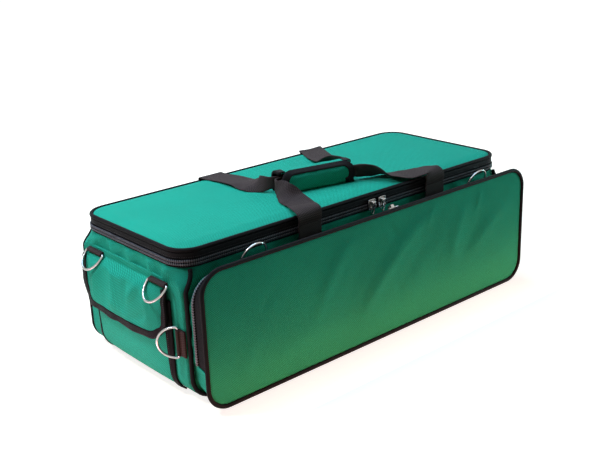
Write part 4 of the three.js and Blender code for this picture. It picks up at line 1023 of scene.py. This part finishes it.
# D-rings. Bent from nickel-plated wire, each with its bar held in a rolled loop of black webbing: two
# on the flap, two above the pocket, and one in a tab at each end.
nickel, tree, shader, marks = new_material("bright_nickel", 90)
feed(tree, shader, {
    "Base Color": mix_colours(tree, marks, (0.24, 0.23, 0.215), (0.62, 0.60, 0.57)),
    "Roughness": spread(tree, marks, 0.15, 0.34), "Metallic": 1})


def ring_wire(half_bar, reach, corner):
    """A D as places along its bar and out from it, from one end of the bar round the bow."""
    bow = [math.pi * k / 30 for k in range(1, 30)]
    points = arc_points((half_bar - corner, corner), corner, -90, 90, 6)
    points += [(half_bar * math.cos(a), corner + (reach - corner) * math.sin(a)) for a in bow]
    points += arc_points((corner - half_bar, corner), corner, 180, 90, 6)
    points += between((corner - half_bar, 0), (half_bar - corner, 0), 8)
    return points


def bend_wire(name, centre, along, reach_way, shape, radius):
    """Wire bent to a shape that lies along its bar and out from it."""
    along, reach_way = Vector(along).normalized(), Vector(reach_way).normalized()
    line = [Vector(centre) + along * a + reach_way * b for a, b in shape]
    stations = cord_stations(line, along.cross(reach_way), radius, closed=True)
    return draw_along(name, stations, round_section, closed=True)


black_webbing = woven_cloth(
    "black_webbing", (0.1, 0.066, 0.056), (0.024, 0.016, 0.014), 700, 0.8, 0.66, 0.07)


loop_width, loop_radius, loop_thickness = 43, 2.95, 1.15


def roll_loop(name, centre, way, out, tail):
    """Webbing that runs down from a ring's bar, or along the cloth it is sewn to."""
    way, out = Vector(way).normalized(), Vector(out).normalized()
    across, ply_above = way.cross(out), 1.4 - loop_radius
    profile = [(-tail, -loop_radius), (-tail * 0.5, -loop_radius)]
    profile += arc_points((0, 0), loop_radius, -90, 285, 20)
    profile += [(-tail * 0.5 - 1.2, ply_above), (-tail, ply_above)]

    def place(u, v):
        a, b = profile[round(v * (len(profile) - 1))]
        return Vector(centre) + across * loop_width * (u - 0.5) + way * a + out * b

    loop = cut_cloth(name, 16, len(profile) - 1, place, loop_width, distances_along(profile)[-1])
    thicken(loop, loop_thickness, offset=0)
    return loop


ring_shape, ring_wire_radius = ring_wire(25, 32, 3), 1.9
tilt, lean, swing = (math.radians(angle) for angle in (42, 24, 45))
rings = []
for side, y in (("back", 92), ("front", -92)):
    rings.append(("flap_ring_" + side, (-378.1, y, 184.4), (0, 1, 0),
                  (-math.sin(tilt), 0, -math.cos(tilt)), (0, 0, -1), (-1, 0, 0), 4.3, "end_flap",
                  "flap_ring_loop_" + side))
for side, x in (("left", -241.98), ("right", 287.86)):
    rings.append(("front_ring_" + side, (x, -147.4, 197), (1, 0, 0),
                  (0, -math.sin(lean), math.cos(lean)), (0, 0, 1), (0, -1, 0), 6, "case",
                  "front_ring_loop_" + side))
for side, sign in (("left", -1), ("right", 1)):
    rings.append(("strap_ring_" + side, (sign * 373.9, -128, 97), (0, 0, 1),
                  (sign * math.sin(swing), math.cos(swing), 0), (0, 1, 0), (sign, 0, 0), 16, "case",
                  "strap_tab_" + side))
for name, centre, bar, reach, way, out, tail, holder, loop_node in rings:
    ring = bend_wire(name + "_wire", centre, bar, reach, ring_shape, ring_wire_radius)
    sew_on(ring, name, "nickel", nickel, name)
    loop = roll_loop(loop_node + "_webbing", centre, way, out, tail)
    sew_on(loop, holder, "black_nylon", black_webbing, loop_node)

# Straps and handles. Flat black nylon webbing, 50 wide. The front one comes up from inside the pocket,
# the back one from the seam of the back face. Over the lid both fold and turn on edge into the wrap.
upper_edge = [(-0.985, 0.75), *((x, 1) for x in (-0.94, -0.7, -0.35, 0, 0.35, 0.7, 0.94)), (0.985, 0.75)]
webbing_section = [(-1, 0), *upper_edge, (1, 0), *((-x, -y) for x, y in upper_edge)]
span_steps, flat_width, folded_width, webbing_half = 10, 49, 21, 0.8


def lay_webbing(name, stops, outer_side=1):
    """Webbing through stops: place, left edge direction, and 0 for flat to 1 for folded on edge."""
    places = [Vector(stop[:3]) for stop in stops]
    places = [places[0] * 2 - places[1], *places, places[-1] * 2 - places[-2]]
    lefts = [Vector(stop[3:6]) for stop in stops]
    tucks = [stop[6] for stop in stops]
    samples = []
    for span in range(len(stops) - 1):
        p0, p1, p2, p3 = places[span:span + 4]
        t1 = max((p1 - p0).length, 0.001) ** 0.5
        t2 = t1 + max((p2 - p1).length, 0.001) ** 0.5
        t3 = t2 + max((p3 - p2).length, 0.001) ** 0.5
        for step in range(span_steps + (span == len(stops) - 2)):
            share = step / span_steps
            t = t1 + (t2 - t1) * share
            a1, a2, a3 = p0.lerp(p1, t / t1), p1.lerp(p2, share), p2.lerp(p3, (t - t2) / (t3 - t2))
            b1, b2 = a1.lerp(a2, t / t2), a2.lerp(a3, (t - t1) / (t3 - t1))
            samples.append((b1.lerp(b2, share), lefts[span].lerp(lefts[span + 1], share),
                            tucks[span] + (tucks[span + 1] - tucks[span]) * smooth_step(share, 0, 1)))
    stations = []
    for index, (middle, left, tuck) in enumerate(samples):
        before, after = samples[max(index - 1, 0)][0], samples[min(index + 1, len(samples) - 1)][0]
        heading = (after - before).normalized()
        flat_normal = heading.cross(left).normalized()
        left_edge = flat_normal.cross(heading)
        turn = tuck * math.pi / 2
        normal = flat_normal * math.cos(turn) + left_edge * outer_side * math.sin(turn)
        across = normal.cross(heading)
        half_width = (flat_width + (folded_width - flat_width) * tuck) / 2
        stations.append((middle, across * half_width, normal * webbing_half * (1 + tuck)))
    return draw_along(name, stations, webbing_section)


front_route = (
    (-128, -152, 228.4, -1, 0, 0, 0), (-128, -153.6, 238, -1, 0, 0, 0),
    (-127.8, -151.2, 245.6, -1, 0.05, 0, 0),
    (-126.4, -144, 250.2, -0.97, 0.2, 0, 0), (-123.6, -134, 251, -0.93, 0.36, 0, 0),
    (-114.6, -116.6, 248.6, -0.951, 0.309, 0.02, 0),
    (-110.4, -91.5, 251, -0.998, 0.066, 0.003, 0.1), (-111.3, -67.3, 261.2, -0.998, 0.059, 0, 0.6),
    (-107.8, -48, 261.1, -0.939, 0.344, 0, 0.95), (-100.5, -37.7, 261.8, -0.638, 0.77, 0, 1),
    (-94.2, -36.7, 261.8, 0.175, 0.985, 0, 1), (-32, -49.9, 261.8, 0.208, 0.978, 0, 1),
    (30.1, -63.1, 261.8, 0.287, 0.958, 0, 1), (43.3, -72.5, 261.5, 0.572, 0.82, 0, 0.98),
    (67.3, -89.1, 260.6, 0.559, 0.829, 0.016, 0.6), (97, -108.7, 250.6, 0.512, 0.859, 0.049, 0.12),
    (128.4, -123.6, 247, 0.48, 0.877, 0.02, 0), (150.5, -132, 249, 0.62, 0.785, 0, 0),
    (163, -139, 250.6, 0.9, 0.436, 0, 0), (168, -146.6, 249.2, 1, 0, 0, 0),
    (169, -151.6, 244.6, 1, 0, 0, 0),
    (169, -153.4, 237.4, 1, 0, 0, 0), (169, -152, 228.4, 1, 0, 0, 0))
back_route = (
    (-107, 144.7, 240, 1, 0, 0, 0), (-107, 144.7, 242.5, 1, 0, 0, 0), (-107, 142.7, 245, 1, 0, 0, 0),
    (-106.1, 128.8, 245, 0.997, 0.083, 0, 0), (-102.5, 89, 247.4, 1, 0.025, -0.001, 0),
    (-104.2, 52.1, 249.9, 0.995, -0.098, 0, 0), (-109.5, 18.3, 254, 0.998, -0.066, 0, 0.2),
    (-108.1, -6.6, 258.5, 0.969, 0.246, 0, 0.72), (-99.1, -22.5, 261.8, 0.784, 0.62, 0, 1),
    (-92.1, -26.9, 261.8, 0.246, 0.969, 0, 1), (-30, -40.1, 261.8, 0.208, 0.978, 0, 1),
    (32.2, -53.3, 261.8, 0.167, 0.986, 0, 1), (44.9, -52.8, 261.8, -0.367, 0.93, 0, 1),
    (63.9, -40.8, 260.7, -0.837, 0.548, 0, 0.92), (75, -6.9, 260.6, -0.958, 0.288, 0, 0.5),
    (88.4, 40.6, 249.9, -0.94, 0.342, 0, 0.05), (109.7, 88.8, 247.4, -0.899, 0.439, -0.022, 0),
    (130.7, 127.2, 245.1, -0.892, 0.451, -0.005, 0), (137, 142.7, 245, -1, 0, 0, 0),
    (137, 144.7, 242.5, -1, 0, 0, 0), (137, 144.7, 240, -1, 0, 0, 0))
front_handle = lay_webbing("front_handle_strap", front_route, 1)
sew_on(front_handle, "front_handle", "black_nylon", black_webbing, "front_handle_webbing")
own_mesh(front_handle)
back_handle = lay_webbing("back_handle_strap", back_route, -1)
sew_on(back_handle, "back_handle", "black_nylon", black_webbing, "back_handle_webbing")
front_rise = ((1.6, 190.5), (5.1, 201), (8.5, 207), (8.5, 227.8))
for side, x in (("left", -128.02), ("right", 169.02)):
    strap = lay_webbing("front_strap_" + side + "_webbing",
                        [(x, front_y - out, height, -1, 0, 0, 0) for out, height in front_rise])
    sew_on(strap, "case", "black_nylon", black_webbing, "front_strap_" + side)
for side, x in (("left", -107.0), ("right", 136.97)):
    for part, low, high, body in (("back_strap_", 124, 216, "case"), ("lid_strap_", 224.2, 239.4, "lid")):
        strap = lay_webbing(part + side + "_webbing",
                            [(x, 144.7, low + (high - low) * k / 4, 1, 0, 0, 0) for k in range(5)])
        sew_on(strap, body, "black_nylon", black_webbing, part + side)

# Wrap of the handles. A stiff pad of green cloth over foam, folded round the two webbings and closed
# on itself over the top, with black binding round its free edges.
grip_turn = math.radians(-12)
grip_along = Vector((math.cos(grip_turn), math.sin(grip_turn), 0))
grip_across = Vector((-math.sin(grip_turn), math.cos(grip_turn), 0))
grip_base = Vector((-23.7, -46.6, 245.8))
grip_length = 142


def in_grip(along, across, up):
    """A place in the wrap's own directions."""
    return grip_base + grip_along * along + grip_across * across + Vector((0, 0, up))


leaf_top, lap, leaf_corner, leaf_foot, cloth_thickness = 35, -7.6, 24, 13, 3.6
binding_half, binding_inset = 6.4, 5.7
leaf_half, low_bend, back_bend, front_bend = 20, 5, 13, 12
back_high, front_high, low_flat = leaf_top - back_bend, leaf_top - front_bend, leaf_half - low_bend
back_leaf = arc_points((-low_flat, low_bend), low_bend, 228, 42, 4)
back_leaf += arc_points((low_flat, low_bend), low_bend, -90, 90, 6)
back_leaf += between((leaf_half, low_bend), (leaf_half, back_high), 4)
back_leaf += arc_points((leaf_half - back_bend, back_high), back_bend, 0, 90, 14)
back_leaf += between((leaf_half - back_bend, leaf_top), (lap, leaf_top), 4) + [(lap + 0.3, leaf_top)]
front_leaf = [(lap, leaf_top)] + arc_points((front_bend - leaf_half, front_high), front_bend, 90, 90, 14)
front_leaf += between((-leaf_half, front_high), (-leaf_half, low_bend), 6)
front_leaf += arc_points((-low_flat, low_bend), low_bend, 180, 36, 4)


def on_leaf(profile, along, run, lift):
    """A place on a folded leaf: along the grip, run from the leaf's first edge, lifted off its face."""
    for a, b in zip(profile, profile[1:]):
        length = math.dist(a, b)
        if run <= length or b == profile[-1]:
            break
        run -= length
    way = ((b[0] - a[0]) / length, (b[1] - a[1]) / length)
    return in_grip(along, a[0] + way[0] * run + way[1] * lift, a[1] + way[1] * run - way[0] * lift)


def foot_short(run, whole):
    """How much the front leaf draws in towards its foot."""
    return leaf_foot - math.sqrt(max(leaf_foot ** 2 - max(run - whole + leaf_foot, 0) ** 2, 0))


grip_half = (grip_length - 1) / 2


def leaf_cloth(name, profile, corner, puff):
    """One leaf of the wrap: folded to its profile, round at the corners of its first edge, and puffed."""
    whole = distances_along(profile)[-1]
    rows = {step * whole / 30 for step in range(31)} | {corner * (step / 8) ** 2 for step in range(9)}
    rows = sorted(rows)

    def place(u, v):
        run = rows[round(v * (len(rows) - 1))]
        shorter = corner - math.sqrt(max(corner ** 2 - max(corner - run, 0) ** 2, 0))
        shorter += foot_short(run, whole) if corner else 0
        along = (u * 2 - 1) * (grip_half - shorter)
        ripple = noise.noise(Vector((along * 0.06, run * 0.08, 3)))
        ripple *= smooth_step(grip_half - abs(along), 0, 12)
        swell = puff * min(2 * math.sin(math.pi * u), 1) * math.sin(math.pi * run / whole)
        return on_leaf(profile, along, run, swell + 0.7 * ripple)

    leaf = cut_cloth(name, 60, len(rows) - 1, place, grip_length, whole)
    thicken(leaf, cloth_thickness, middle=in_grip(0, 0, 16) * MM)
    round_edges(leaf, 0.9, 50)
    return leaf


def bind_leaf(name, profile, path, node, body):
    """Binding folded over a leaf's edge, along a path of places on the leaf."""
    stations, thick_half = [], cloth_thickness / 2
    for index, (along, run) in enumerate(path):
        before, after = path[max(index - 1, 0)], path[min(index + 1, len(path) - 1)]
        heading = (on_leaf(profile, *after, 0) - on_leaf(profile, *before, 0)).normalized()
        face = (on_leaf(profile, along, run, 1) - on_leaf(profile, along, run, 0)).normalized()
        aside = face.cross(heading).normalized()
        middle = on_leaf(profile, along, run, -thick_half)
        stations.append((middle, aside * binding_half, face * (thick_half + 1.1)))
    sew_on(draw_along(name, stations, tape_section), body, "black_nylon", black_binding, node)


pad = leaf_cloth("wrap_pad", back_leaf, 0, 0.3)
sew_on(pad, "back_handle", "green_nylon", green_nylon, "grip_pad")
leaf = leaf_cloth("wrap_leaf", front_leaf, leaf_corner, 0.8)
sew_on(leaf, "grip_flap", "green_nylon", green_nylon, "grip_flap")
edge = grip_half - binding_inset
whole = distances_along(front_leaf)[-1]
bend = leaf_corner - binding_inset
runs = [whole - up for up in (0.1, 2, 4, 6, 8, 10, 12, 14)]
half_path = [(edge - foot_short(run, whole), run) for run in runs]
half_path += [(edge - bend + a, leaf_corner - b) for a, b in arc_points((0, 0), bend, 0, 90, 8)]
path = half_path + between(half_path[-1], (-half_path[-1][0], half_path[-1][1]), 24)
path += [(-along, run) for along, run in reversed(half_path)]
bind_leaf("wrap_leaf_binding", front_leaf, path, "grip_flap", "grip_flap")
whole = distances_along(back_leaf)[-1]
for side, label in ((-1, "left"), (1, "right")):
    path = [(side * edge, whole * step / 40) for step in range(41)]
    bind_leaf("wrap_pad_binding_" + label, back_leaf, path, "grip_pad", "back_handle")

# Zip sliders. Cast and nickel-plated, each with a bridge that holds a wire pull. Drawn larger than the
# solids, as the real ones look.
slider_growth, slider_lift, pull_wire_radius = (2.0, 1.3, 1.7), Vector((0, 0, 2.2)) * MM, 0.78
for node in ("main_slider_left", "main_slider_right", "pocket_slider"):
    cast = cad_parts[node].copy()
    cast.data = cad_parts[node].data.copy()
    cast.name = cast.data.name = node + "_cast"
    bpy.context.collection.objects.link(cast)
    low_corner, high_corner = (Vector(corner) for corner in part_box(node))
    middle = (low_corner + high_corner) / 2
    for vertex in cast.data.vertices:
        vertex.co = middle + (vertex.co - middle) * Vector(slider_growth) + slider_lift
    close_up(cast)
    round_edges(cast, 0.45, 40)
    sew_on(cast, node, "nickel", nickel, node)
    pick(cast)
    bpy.ops.object.shade_smooth_by_angle(angle=math.radians(35))
pull_shape = ring_wire(4, 12.5, 1.2)
long_pull_shape = ring_wire(4, 18, 1.2)
forward = Vector((0, -38.3, 24.5)).normalized()
for node, centre, reach, shape in (
        ("main_pull_left", (18, -147.6, 218.55), (0, 0, -1), pull_shape),
        ("main_pull_right", (42, -147.6, 218.55), (0, 0, -1), pull_shape),
        ("pocket_pull", (52, -158.35, 207.8), forward, long_pull_shape)):
    pull = bend_wire(node + "_wire", centre, (1, 0, 0), reach, shape, pull_wire_radius)
    sew_on(pull, node, "nickel", nickel, node)
